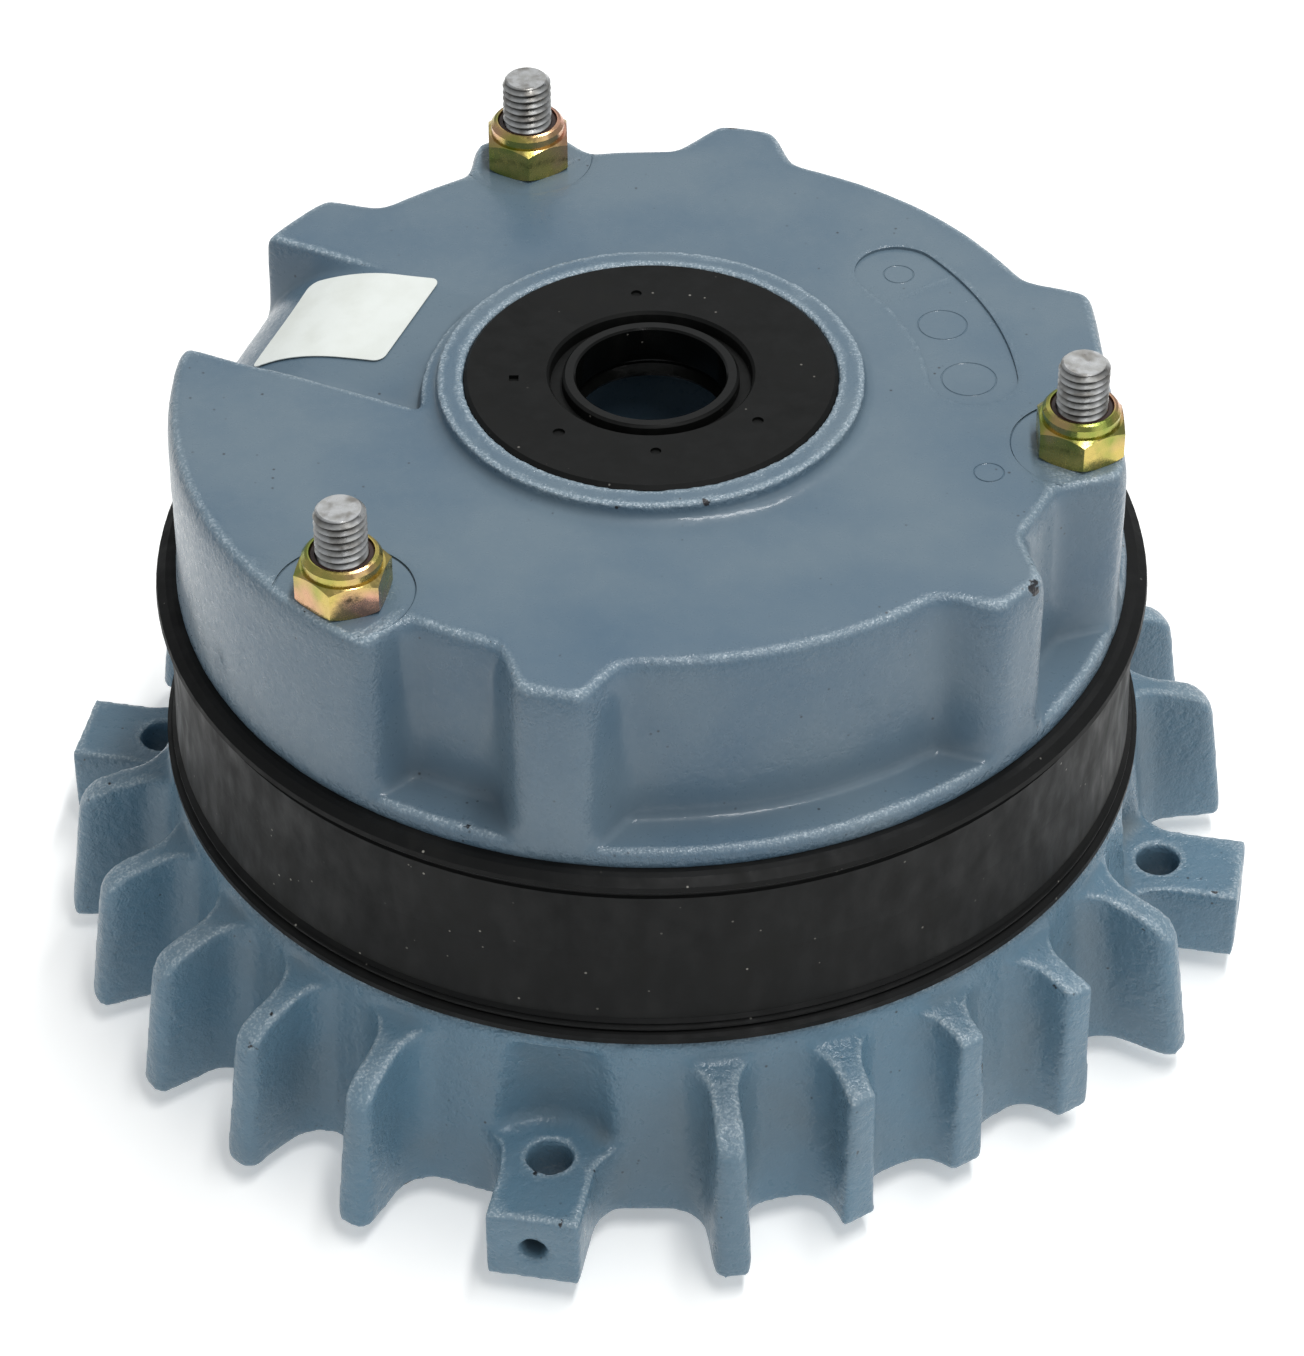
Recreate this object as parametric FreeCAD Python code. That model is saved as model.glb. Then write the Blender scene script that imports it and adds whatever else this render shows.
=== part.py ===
import FreeCAD
import Part
import math
import os

V = FreeCAD.Vector
Z = V(0, 0, 1)

# Overall frame: +Z is the motor axis, z = 0 is the flange plane that meets the motor housing.
# Azimuths are in degrees from +X, and the photographed front is at 270.
LUG_AZ = 259.15
STUD_AZ = 227.5
CHANNEL_AZ = 155.3
FLAT_AZ = LUG_AZ + 45.0

# End shield, the finned motor end bell.
SEAT_R = 75.4
WALL_R1 = SEAT_R + 3.9
WALL_R0 = WALL_R1 + 3.7
SHOULDER_Z = 33.0
FACE_Z = 36.0
WEB_T = 11.0
SPIGOT_R = WALL_R0 - 8.0
SPIGOT_H = 4.0
SPIGOT_T = 5.0
FIN_COUNT = 5
FIN_PITCH = 13.45
FIN_R = WALL_R0 + 15.0
FIN_TOP_R = FIN_R - 2.4
FIN_TOP_Z = 30.0
FIN_SLOPE = 15.0
FIN_CORNER = 8.0
FIN_T0 = 6.2
FIN_T1 = 4.6
FIN_ROOT = 6.0
FLAT_DIST = WALL_R0 + 5.4
LUG_R = WALL_R0 + 16.0
LUG_W = 14.8
LUG_TOP = 13.2
LUG_ROOT = 8.0
LUG_HOLE_R = 3.5
LUG_HOLE_PCD = 2 * (WALL_R0 + 2.0)
LUG_SCREW_R = 2.1
LUG_SCREW_DEPTH = 8.0
LUG_SCREW_Z = 6.4
BOLT_POCKET_R = WALL_R1 - 3.0
BOLT_POCKET_ARCH = 12.0
BOLT_POCKET_FOOT = 2.5
BEARING_R = 26.0
BEARING_L = 15.0
BEARING_Z = 3.0
BOSS_R = 33.5
SHAFT_HOLE_R = 21.0
HUB_POCKET_R = 27.0
HUB_POCKET_Z = 30.0
RIB_T = 5.0

# Friction stack on the end shield's machined face.
WEAR_T = 1.0
LINING_T = 3.0
CARRIER_T = 4.0
PLATE_T = 9.0
DAMPER_T = 0.6
AIR_GAP = 0.4
LINING_R0 = 38.0
CARRIER_RIM = 33.0
CARRIER_HUB_T = 8.0
PLATE_R = SEAT_R - 1.1
PLATE_HOLE_R = 29.0

# Driver hub on the motor shaft.
HUB_BORE_R = 12.5
HUB_TEETH = 20
HUB_ROOT_R = 21.3
HUB_TIP_R = 24.3
HUB_CLEAR = 0.12
HUB_Z0 = 34.5
HUB_L = 15.0
KEY_W = 8.0
KEY_H = 15.8

# Magnet body.
POLE_Z = FACE_Z + WEAR_T + 2 * LINING_T + CARRIER_T + PLATE_T + DAMPER_T + AIR_GAP
RIM_Z = 66.5
RIM_R = SEAT_R + 1.3
LEDGE_Z = 69.3
CROWN_Z = 98.5
CROWN_TIP_R = RIM_R - 1.0
CROWN_BASE_R = CROWN_TIP_R - 8.4
CROWN_ROUND = 1.8
EDGE_ROUND = 1.6
MAGNET_BORE_R = 17.5
COIL_R0 = 35.0
COIL_TOP = POLE_Z + 26.0
CABLE_AZ = 47.5
GROMMET_R = 4.6
GROMMET_LIP = 1.6
LEAD_R = 2.9
CABLE_Z = LEDGE_Z + GROMMET_R + GROMMET_LIP + 0.3
# Each raised block of the crown, in degrees: where its base and its tip start, where the round tip
# and the straight tip end, and where its base ends.
BLOCKS = [
    (-22.8, -17.5, -14.0, 20.0, 26.0),
    (69.0, 73.5, 81.5, 81.5, 86.4),
    (98.5, 102.5, 113.0, 113.0, 117.0),
    (131.2, 135.0, 236.5, 236.5, 237.5),
    (250.3, 254.5, 262.7, 262.7, 266.7),
    (309.5, 313.1, 321.4, 321.4, 326.7),
]
SEAL_BOSS_R = 31.3
SEAL_BOSS_FOOT = 36.0
SEAL_TOP = 101.6
CHANNEL_FRONT = 19.3
CHANNEL_BACK = 11.0
CHANNEL_ROUND = 4.0
CHANNEL_START = 26.0
CHANNEL_BEND = CROWN_TIP_R - 25.7
CHANNEL_BEND_R = 26.6
CHANNEL_TILT = 0.15

# Springs, studs, nuts and pins.
RING_T = 3.0
RING_R = 7.0
STUD_PCD = 2 * (SEAT_R - RING_R - 0.9)
STUD_R = 4.0
STUD_TOP = 114.0
STUD_DEPTH = 22.0
THREAD_PITCH = 1.25
THREAD_DEPTH = 0.62
NUT_SEAT_Z = CROWN_Z - 0.3
SPOTFACE_R = 10.75
NUT_AF = 13.0
NUT_HEX_H = 5.6
NUT_H = 7.8
NUT_COLLAR_R = 6.05
INSERT_R = 4.95
SPRING_MEAN_R = 3.7
SPRING_WIRE = 1.5
SPRING_POCKET_R = SPRING_MEAN_R + SPRING_WIRE / 2 + 0.3
SPRING_WALL = 4.45
SPRING_PCD = 2 * (SEAT_R - SPRING_POCKET_R - SPRING_WALL)
COIL_R1 = SPRING_PCD / 2 - SPRING_POCKET_R - SPRING_WALL
LINING_R1 = STUD_PCD / 2 - RING_R - 1.5
SPRING_SEAT = 1.0
SPRING_TOP = 84.0
COUNTER_MEAN_R = 5.3
COUNTER_WIRE = 1.3
COUNTER_TOP = POLE_Z + 6.0
PIN_R = 3.0
PIN_PCD = 2 * (SEAT_R - 9.4)
PIN_CLEAR = 0.06

# Rubber pieces.
COLLAR_LIP_R = WALL_R1 + 0.4
COLLAR_BAND_R = SEAT_R + 2.7
SEAL_R = 29.25
SEAL_H = 9.5
SEAL_HOLE_R = 11.8
SEAL_LIP = 0.3
LABEL_LONG = 21.8
LABEL_WIDE = 19.6
LABEL_CORNER = 2.4
LABEL_T = 0.15
LABEL_D = CHANNEL_BEND + 3.6
LABEL_OFF = 0.3
LABEL_TURN = 9.0


def polar(r, az, z=0.0):
    """Point at radius r, azimuth az in degrees and height z."""
    a = math.radians(az)
    return V(r * math.cos(a), r * math.sin(a), z)


def cyl(r, z0, z1, x=0.0, y=0.0):
    """Upright cylinder between two heights."""
    return Part.makeCylinder(r, z1 - z0, V(x, y, z0))


def ring(r0, r1, z0, z1):
    """Flat ring between two radii and two heights."""
    return cyl(r1, z0, z1).cut(cyl(r0, z0 - 1, z1 + 1))


def at(shape, r, az, turn=0.0):
    """Copy of a shape made on the axis, moved out to radius r at azimuth az."""
    s = shape.copy()
    s.rotate(V(0, 0, 0), Z, turn)
    s.translate(polar(r, az))
    return s


def turned(shape, az):
    """Copy of a shape turned about the axis."""
    s = shape.copy()
    s.rotate(V(0, 0, 0), Z, az)
    return s


def revolve(points):
    """Solid of revolution from a closed (r, z) polygon."""
    wire = Part.makePolygon([V(r, 0, z) for r, z in points] + [V(points[0][0], 0, points[0][1])])
    return Part.Face(wire).revolve(V(0, 0, 0), Z, 360)


def prism(points, z0, z1):
    """Upright prism from (x, y) points."""
    wire = Part.makePolygon([V(x, y, z0) for x, y in points] + [V(points[0][0], points[0][1], z0)])
    return Part.Face(wire).extrude(V(0, 0, z1 - z0))


def box_at(r0, r1, width, z0, z1, az):
    """Radial box from r0 to r1, turned to azimuth az."""
    b = Part.makeBox(r1 - r0, width, z1 - z0, V(r0, -width / 2, z0))
    return turned(b, az)


def third(shape, r, az):
    """Three copies at 120 degrees, moved out to radius r."""
    return [at(shape, r, az + 120 * k) for k in range(3)]


def rounded(shape, edges, radius):
    """Fillet on the given edges."""
    return shape.makeFillet(radius, edges)


def group(shapes):
    """Several separate solids in one node."""
    return Part.makeCompound([x for s in shapes for x in s.Solids])


def arc_edge(r, a0, a1, z):
    """Arc about the axis from azimuth a0 to a1."""
    return Part.Arc(polar(r, a0, z), polar(r, (a0 + a1) / 2, z), polar(r, a1, z)).toShape()


def wall_r(z):
    """Outer radius of the end shield's drafted wall at height z."""
    return WALL_R0 + (WALL_R1 - WALL_R0) * z / SHOULDER_Z


# The end shield

def root_x(wall, side):
    """Where a flared root that is side wide on each side starts, just inside a wall of radius wall."""
    return math.sqrt(wall ** 2 - side ** 2) - 0.1


def fin_outline(half, start, tip, root, z):
    """Plan of one fin or lug: flared roots, straight flanks and a rounded tip, pointing along +X."""
    c = min(1.9, half - 0.2)
    k = math.sqrt(0.5)
    q = c - c * k
    side = half + root
    mid = V(start + root - root * k, side - root * k, z)
    e = [
        Part.makeLine(V(start - 5, side, z), V(start, side, z)),
        Part.Arc(V(start, side, z), mid, V(start + root, half, z)).toShape(),
        Part.makeLine(V(start + root, half, z), V(tip - c, half, z)),
        Part.Arc(V(tip - c, half, z), V(tip - q, half - q, z), V(tip, half - c, z)).toShape(),
        Part.makeLine(V(tip, half - c, z), V(tip, -half + c, z)),
        Part.Arc(V(tip, -half + c, z), V(tip - q, -half + q, z), V(tip - c, -half, z)).toShape(),
        Part.makeLine(V(tip - c, -half, z), V(start + root, -half, z)),
        Part.Arc(V(start + root, -half, z), V(mid.x, -mid.y, z), V(start, -side, z)).toShape(),
        Part.makeLine(V(start, -side, z), V(start - 5, -side, z)),
        Part.makeLine(V(start - 5, -side, z), V(start - 5, side, z)),
    ]
    return Part.Wire(e)


def one_fin():
    """Drafted fin from the flange plane up, with a sloping top and a round outer corner."""
    c = FIN_CORNER
    a = math.radians(FIN_SLOPE)
    x0 = wall_r(FIN_TOP_Z) - 1
    # The round corner touches the sloping top and stands just outside the drafted tip.
    x = FIN_TOP_R + 0.2
    z = FIN_TOP_Z - (c + (x - c - x0) * math.sin(a)) / math.cos(a)
    draft = (FIN_R - FIN_TOP_R) / z
    h0 = FIN_T0 / 2
    h1 = FIN_T1 / 2
    low = fin_outline(h0, root_x(WALL_R0, h0 + FIN_ROOT), FIN_R, FIN_ROOT, 0)
    start = root_x(wall_r(FIN_TOP_Z), h1 + FIN_ROOT)
    high = fin_outline(h1, start, FIN_R - draft * FIN_TOP_Z, FIN_ROOT, FIN_TOP_Z)
    fin = Part.makeLoft([low, high], True, True)
    w = -h0 - FIN_ROOT - 1
    touch = V(x - c + c * math.sin(a), w, z + c * math.cos(a))
    b = (a + math.pi / 2) / 2
    e = [
        Part.makeLine(V(x0, w, FIN_TOP_Z + 3), V(x0, w, FIN_TOP_Z)),
        Part.makeLine(V(x0, w, FIN_TOP_Z), touch),
        Part.Arc(touch, V(x - c + c * math.sin(b), w, z + c * math.cos(b)), V(x, w, z)).toShape(),
        Part.makeLine(V(x, w, z), V(x + 9, w, z)),
        Part.makeLine(V(x + 9, w, z), V(x + 9, w, FIN_TOP_Z + 3)),
        Part.makeLine(V(x + 9, w, FIN_TOP_Z + 3), V(x0, w, FIN_TOP_Z + 3)),
    ]
    return fin.cut(Part.Face(Part.Wire(e)).extrude(V(0, -2 * w, 0)))


def one_lug():
    """Bolt lug with flared roots."""
    h = LUG_W / 2
    outline = fin_outline(h, root_x(wall_r(LUG_TOP), h + LUG_ROOT), LUG_R, LUG_ROOT, 0)
    lug = Part.Face(outline).extrude(V(0, 0, LUG_TOP))
    # The outer face is cut square to the radius.
    square = Part.makeBox(4, LUG_W, LUG_TOP, V(LUG_R - 4, -h, 0))
    return lug.fuse(square)


def bolt_pocket():
    """Room for the bolt head and its wrench: an arched hollow in the wall above the lug."""
    x = BOLT_POCKET_R + BOLT_POCKET_ARCH
    tool = Part.makeCylinder(BOLT_POCKET_ARCH, SHOULDER_Z - 2.5 - LUG_TOP, V(x, 0, LUG_TOP))
    foot = [e for e in tool.Edges if e.BoundBox.ZMax < LUG_TOP + 0.1]
    return rounded(tool, foot, BOLT_POCKET_FOOT)


def end_shield():
    """Finned end bell with the friction face, bearing seat and register."""
    under = FACE_Z - WEB_T
    inner = SPIGOT_R - SPIGOT_T
    body = revolve([
        (SHAFT_HOLE_R, BEARING_Z + BEARING_L), (SHAFT_HOLE_R, HUB_POCKET_Z), (HUB_POCKET_R, HUB_POCKET_Z),
        (HUB_POCKET_R, FACE_Z), (SEAT_R, FACE_Z), (SEAT_R, SHOULDER_Z), (WALL_R1 - 0.8, SHOULDER_Z),
        (WALL_R1, SHOULDER_Z - 0.8), (WALL_R0, 0), (SPIGOT_R, 0), (SPIGOT_R, 0.5 - SPIGOT_H),
        (SPIGOT_R - 0.5, -SPIGOT_H), (inner, -SPIGOT_H), (inner, under - 3), (inner - 3, under),
        (BOSS_R + 3, under), (BOSS_R, under - 3), (BOSS_R - 0.6, BEARING_Z), (BEARING_R, BEARING_Z),
        (BEARING_R, BEARING_Z + BEARING_L),
    ])
    extra = []
    for q in range(4):
        for k in range(FIN_COUNT):
            az = LUG_AZ + 90 * q + 45 + (k - (FIN_COUNT - 1) / 2) * FIN_PITCH
            extra.append(turned(one_fin(), az))
        extra.append(turned(one_lug(), LUG_AZ + 90 * q))
    # Ribs under the web and bosses for the studs.
    for k in range(6):
        rib = box_at(BOSS_R - 1, inner + 1, RIB_T, under - 9, under + 1, STUD_AZ + 60 * k)
        extra.append(rib)
    for k in range(3):
        extra.append(at(cyl(7.5, FACE_Z - STUD_DEPTH - 4, under + 1), STUD_PCD / 2 - 3, STUD_AZ + 120 * k))
    body = body.fuse(extra)
    cuts = []
    # The front right side of the casting is flat.
    cuts.append(box_at(FLAT_DIST, FIN_R + 10, FIN_R, -1, SHOULDER_Z + 1, FLAT_AZ))
    for q in range(4):
        az = LUG_AZ + 90 * q
        cuts.append(turned(bolt_pocket(), az))
        cuts.append(at(cyl(LUG_HOLE_R, -1, LUG_TOP + 1), LUG_HOLE_PCD / 2, az))
        inner_end = V(LUG_R - LUG_SCREW_DEPTH, 0, LUG_SCREW_Z)
        cuts.append(turned(Part.makeCylinder(LUG_SCREW_R, LUG_SCREW_DEPTH, inner_end, V(1, 0, 0)), az))
    for k in range(3):
        cuts.append(at(cyl(STUD_R, FACE_Z - STUD_DEPTH, FACE_Z + 1), STUD_PCD / 2, STUD_AZ + 120 * k))
    return body.cut(cuts)


# Friction stack

def wear_plate():
    """Stainless friction sheet on the end shield."""
    return ring(HUB_POCKET_R + 3, LINING_R1 + 1, FACE_Z, FACE_Z + WEAR_T)


def tooth_outline(tip, root, grow):
    """Star outline of the toothed hub; grow widens it for the mating teeth."""
    pts = []
    step = 360.0 / HUB_TEETH
    wide = 0.29 * step
    slim = 0.20 * step
    add = math.degrees(grow / root)
    for k in range(HUB_TEETH):
        c = k * step
        for r, a in ((root + grow, -wide - add), (tip + grow, -slim - add), (tip + grow, slim + add),
                     (root + grow, wide + add)):
            p = polar(r, c + a)
            pts.append((p.x, p.y))
    return pts


def driver_hub():
    """Toothed hub keyed to the motor shaft."""
    hub = prism(tooth_outline(HUB_TIP_R, HUB_ROOT_R, 0), HUB_Z0, HUB_Z0 + HUB_L)
    hub = hub.cut(cyl(HUB_BORE_R, HUB_Z0 - 1, HUB_Z0 + HUB_L + 1))
    return hub.cut(Part.makeBox(KEY_H, KEY_W, HUB_L + 2, V(0, -KEY_W / 2, HUB_Z0 - 1)))


def disc_levels():
    """Heights of the disc's three layers, from the wear plate up."""
    z0 = FACE_Z + WEAR_T
    return z0, z0 + LINING_T, z0 + LINING_T + CARRIER_T, z0 + 2 * LINING_T + CARRIER_T


def disc_carrier():
    """Carrier with internal teeth and a thicker rim round them."""
    z0, z1, z2, z3 = disc_levels()
    mid = (z1 + z2) / 2
    disc = cyl(LINING_R1, z1, z2).fuse(cyl(CARRIER_RIM, mid - CARRIER_HUB_T / 2, mid + CARRIER_HUB_T / 2))
    return disc.cut(prism(tooth_outline(HUB_TIP_R, HUB_ROOT_R, HUB_CLEAR), z0 - 1, z3 + 1))


def linings():
    """Friction rings bonded to both faces of the carrier."""
    z0, z1, z2, z3 = disc_levels()
    return ring(LINING_R0, LINING_R1, z0, z1), ring(LINING_R0, LINING_R1, z2, z3)


def plate_cuts(z0, z1, spring_r, spring_z0):
    """Notches round the studs, pin holes and spring seats in the moving plates."""
    cuts = third(cyl(RING_R + 0.6, z0 - 1, z1 + 1), STUD_PCD / 2, STUD_AZ)
    cuts += third(cyl(PIN_R + PIN_CLEAR, z0 - 1, z1 + 1), PIN_PCD / 2, STUD_AZ + 60)
    for k in range(6):
        cuts.append(at(cyl(spring_r, spring_z0, z1 + 1), SPRING_PCD / 2, STUD_AZ + 30 + 60 * k))
    return cuts


def pressure_plate():
    """Armature plate that the springs press on the disc."""
    z0 = disc_levels()[3]
    z1 = z0 + PLATE_T
    plate = ring(PLATE_HOLE_R, PLATE_R, z0, z1)
    return plate.cut(plate_cuts(z0, z1, SPRING_MEAN_R + SPRING_WIRE / 2 + 0.5, z1 - SPRING_SEAT))


def damping_plate():
    """Thin sheet on the pressure plate that softens its stroke."""
    z0 = disc_levels()[3] + PLATE_T
    z1 = z0 + DAMPER_T
    sheet = ring(PLATE_HOLE_R + 1, PLATE_R - 0.5, z0, z1)
    return sheet.cut(plate_cuts(z0, z1, SPRING_MEAN_R + SPRING_WIRE / 2 + 0.5, z0 - 1))


# Magnet body

def crown_face(z):
    """Plan of the lobed crown, with its corners rounded."""
    edges = []
    n = len(BLOCKS)
    for k in range(n):
        b0, t0, flat, t1, b1 = BLOCKS[k]
        nxt = BLOCKS[(k + 1) % n][0] + (360 if k == n - 1 else 0)
        edges.append(Part.makeLine(polar(CROWN_BASE_R, b0, z), polar(CROWN_TIP_R, t0, z)))
        edges.append(arc_edge(CROWN_TIP_R, t0, flat, z))
        if flat < t1:
            edges.append(Part.makeLine(polar(CROWN_TIP_R, flat, z), polar(CROWN_TIP_R, t1, z)))
        edges.append(Part.makeLine(polar(CROWN_TIP_R, t1, z), polar(CROWN_BASE_R, b1, z)))
        edges.append(arc_edge(CROWN_BASE_R, b1, nxt, z))
    face = Part.Face(Part.Wire(edges))
    q = CROWN_ROUND
    face = face.makeOffset2D(-q).makeOffset2D(2 * q).makeOffset2D(-q)
    return Part.Face(face.OuterWire)


def channel_floor(x, lift):
    """Edges of the channel's floor line in local x and z: level, then bending down. Ends past the rim."""
    z = CROWN_Z + lift
    r = CHANNEL_BEND_R
    c = z - r
    y = -CHANNEL_BACK
    arc = Part.Arc(V(CHANNEL_BEND, y, z), V(CHANNEL_BEND + r * math.sin(0.7), y, c + r * math.cos(0.7)),
                   V(CHANNEL_BEND + r, y, c))
    return [Part.makeLine(V(x, y, z), V(CHANNEL_BEND, y, z)), arc.toShape()]


def channel_sweep(edges, width):
    """Solid swept from the back wall of the channel to the front, with the floor's sideways tilt."""
    return Part.Face(Part.Wire(edges)).extrude(V(0, width, -CHANNEL_TILT * width))


def channel_cut():
    """Space of the channel on the left of the crown."""
    end = CHANNEL_BEND + CHANNEL_BEND_R
    y = -CHANNEL_BACK
    low = CROWN_Z - CHANNEL_BEND_R
    edges = channel_floor(CHANNEL_START, 0)
    over = CROWN_Z + 20
    corners = [V(end, y, low), V(end + 9, y, low), V(end + 9, y, over), V(CHANNEL_START, y, over),
               V(CHANNEL_START, y, CROWN_Z)]
    edges += [Part.makeLine(corners[k], corners[k + 1]) for k in range(4)]
    wedge = channel_sweep(edges, CHANNEL_BACK + CHANNEL_FRONT)
    foot = [e for e in wedge.Edges if e.BoundBox.YMin > CHANNEL_FRONT - 0.01 and e.BoundBox.ZMax < CROWN_Z
            and e.BoundBox.XMin < end - 1]
    wedge = rounded(wedge, foot, CHANNEL_ROUND)
    # The seal boss stands clear of the channel.
    return wedge.cut(cyl(SEAL_BOSS_FOOT - 1.0, 60, 140))


def kidney_cut():
    """Shallow kidney-shaped panel on the right of the crown's top."""
    r0, r1, a0, a1 = 43.6, 57.6, 3.0, 38.0
    rm = (r0 + r1) / 2
    h = (r1 - r0) / 2
    z = CROWN_Z - 0.5
    edges = [arc_edge(r1, a0, a1, z)]
    end = polar(rm, a1, z)
    t = polar(h, a1 + 90)
    edges.append(Part.Arc(polar(r1, a1, z), V(end.x + t.x, end.y + t.y, z), polar(r0, a1, z)).toShape())
    edges.append(arc_edge(r0, a1, a0, z))
    start = polar(rm, a0, z)
    t = polar(h, a0 - 90)
    edges.append(Part.Arc(polar(r0, a0, z), V(start.x + t.x, start.y + t.y, z), polar(r1, a0, z)).toShape())
    return Part.Face(Part.Wire(edges)).extrude(V(0, 0, 3))


def magnet_body():
    """Cast magnet body: lobed crown outside, coil groove, pockets and bores inside."""
    crown = crown_face(RIM_Z + 0.5).extrude(V(0, 0, CROWN_Z - RIM_Z - 0.5))
    top = [e for e in crown.Edges if e.BoundBox.ZMin > LEDGE_Z + 5 and e.Length > 0.5]
    crown = rounded(crown, top, EDGE_ROUND)
    crown = turned(crown, -CHANNEL_AZ).cut(channel_cut())
    brow = [e for e in crown.Edges if e.BoundBox.ZMin > CROWN_Z - 0.05 and e.BoundBox.YLength < 0.05
            and abs(e.BoundBox.YMin - CHANNEL_FRONT) < 0.1 and e.BoundBox.XLength > 10]
    crown = turned(rounded(crown, brow, EDGE_ROUND), CHANNEL_AZ)
    c = 1.2
    base = revolve([
        (0, POLE_Z), (SEAT_R - 0.5, POLE_Z), (SEAT_R, POLE_Z + 0.5), (SEAT_R, RIM_Z), (RIM_R, RIM_Z),
        (RIM_R - 0.2, LEDGE_Z - c), (RIM_R - 0.2 - 0.35 * c, LEDGE_Z - 0.35 * c), (RIM_R - 0.2 - c, LEDGE_Z),
        (0, LEDGE_Z),
    ])
    boss = revolve([
        (0, LEDGE_Z + 1), (0, SEAL_TOP - 0.2), (SEAL_BOSS_R - 0.9, SEAL_TOP - 0.2),
        (SEAL_BOSS_R, SEAL_TOP - 0.6), (SEAL_BOSS_FOOT - 2.2, CROWN_Z + 0.6),
        (SEAL_BOSS_FOOT - 1.0, CROWN_Z + 0.15), (SEAL_BOSS_FOOT, CROWN_Z), (SEAL_BOSS_FOOT, LEDGE_Z + 1),
    ])
    body = base.fuse([crown, boss])
    cuts = [
        cyl(SEAL_R, SEAL_TOP - SEAL_H, SEAL_TOP + 5),
        cyl(MAGNET_BORE_R, POLE_Z - 1, SEAL_TOP),
        ring(COIL_R0, COIL_R1, POLE_Z - 1, COIL_TOP),
        kidney_cut(),
    ]
    cuts += third(cyl(STUD_R + 0.5, POLE_Z - 1, CROWN_Z + 5), STUD_PCD / 2, STUD_AZ)
    cuts += third(cyl(SPOTFACE_R, NUT_SEAT_Z, CROWN_Z + 9), STUD_PCD / 2, STUD_AZ)
    counter_r = COUNTER_MEAN_R + COUNTER_WIRE / 2 + 0.4
    cuts += third(cyl(counter_r, POLE_Z - 1, COUNTER_TOP), STUD_PCD / 2, STUD_AZ)
    cuts += third(cyl(PIN_R, POLE_Z - 1, POLE_Z + 10), PIN_PCD / 2, STUD_AZ + 60)
    for k in range(6):
        pocket = cyl(SPRING_POCKET_R, POLE_Z - 1, SPRING_TOP)
        cuts.append(at(pocket, SPRING_PCD / 2, STUD_AZ + 30 + 60 * k))
    outlet = Part.makeCylinder(GROMMET_R, 30, V(COIL_R1 - 1, 0, CABLE_Z), V(1, 0, 0))
    cuts.append(turned(outlet, CABLE_AZ))
    return body.cut(cuts)


def coil_parts():
    """Bobbin, winding and potting in the coil groove."""
    z0 = POLE_Z + 1.6
    z1 = COIL_TOP - 0.4
    w = 1.4
    r0 = COIL_R0 + 0.2
    r1 = COIL_R1 - 0.3
    bobbin = ring(r0, r0 + w, z0, z1).fuse([ring(r0, r1, z0, z0 + w), ring(r0, r1, z1 - w, z1)])
    winding = ring(r0 + w, r1 - 1.2, z0 + w, z1 - w)
    potting = ring(COIL_R0, COIL_R1, POLE_Z + 0.2, z0)
    lead = Part.makeCylinder(LEAD_R, CROWN_TIP_R - r1 + 1.2, V(r1 - 1.2, 0, CABLE_Z), V(1, 0, 0))
    end = CROWN_BASE_R + 1.6
    sleeve = Part.makeCylinder(GROMMET_R, end - COIL_R1 - 1, V(COIL_R1 + 1, 0, CABLE_Z), V(1, 0, 0))
    flange = Part.makeCylinder(GROMMET_R + GROMMET_LIP, 1.8, V(CROWN_BASE_R + 0.05, 0, CABLE_Z), V(1, 0, 0))
    grommet = sleeve.fuse(flange).cut(Part.makeCylinder(LEAD_R, 40, V(COIL_R1 - 5, 0, CABLE_Z), V(1, 0, 0)))
    # A curved seat, so that the flange lies on the round wall.
    grommet = grommet.cut(cyl(CROWN_BASE_R, CABLE_Z - 15, CABLE_Z + 15).cut(
        Part.makeCylinder(GROMMET_R, 30, V(COIL_R1, 0, CABLE_Z), V(1, 0, 0))))
    lead = lead.cut(cyl(r1 - 1.2, CABLE_Z - 9, CABLE_Z + 9))
    return bobbin, winding, potting, turned(lead, CABLE_AZ), turned(grommet, CABLE_AZ)


# Springs, studs and nuts

def coil_spring(mean_r, wire, z0, z1, turns):
    """Open coil of square-section wire between two heights, with flat end rings."""
    h = z1 - z0 - wire
    helix = Part.makeHelix(h / turns, h, mean_r)
    w = wire / 2
    corners = [V(mean_r - w, 0, -w), V(mean_r + w, 0, -w), V(mean_r + w, 0, w), V(mean_r - w, 0, w)]
    sec = Part.makePolygon(corners + corners[:1])
    coil = Part.Wire(helix).makePipeShell([sec], True, True)
    coil.translate(V(0, 0, z0 + w))
    return coil


def stud():
    """Stud with a threaded free end and a chamfer."""
    z0 = FACE_Z - STUD_DEPTH
    start = NUT_SEAT_Z + NUT_H - 0.6
    pts = [(0, z0), (STUD_R - 0.6, z0), (STUD_R, z0 + 0.6), (STUD_R, start)]
    z = start
    while z + THREAD_PITCH < STUD_TOP - 0.9:
        pts.append((STUD_R - THREAD_DEPTH, z + 0.5 * THREAD_PITCH))
        pts.append((STUD_R, z + THREAD_PITCH))
        z += THREAD_PITCH
    pts += [(STUD_R - 1.0, STUD_TOP), (0, STUD_TOP)]
    return revolve(pts)


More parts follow.
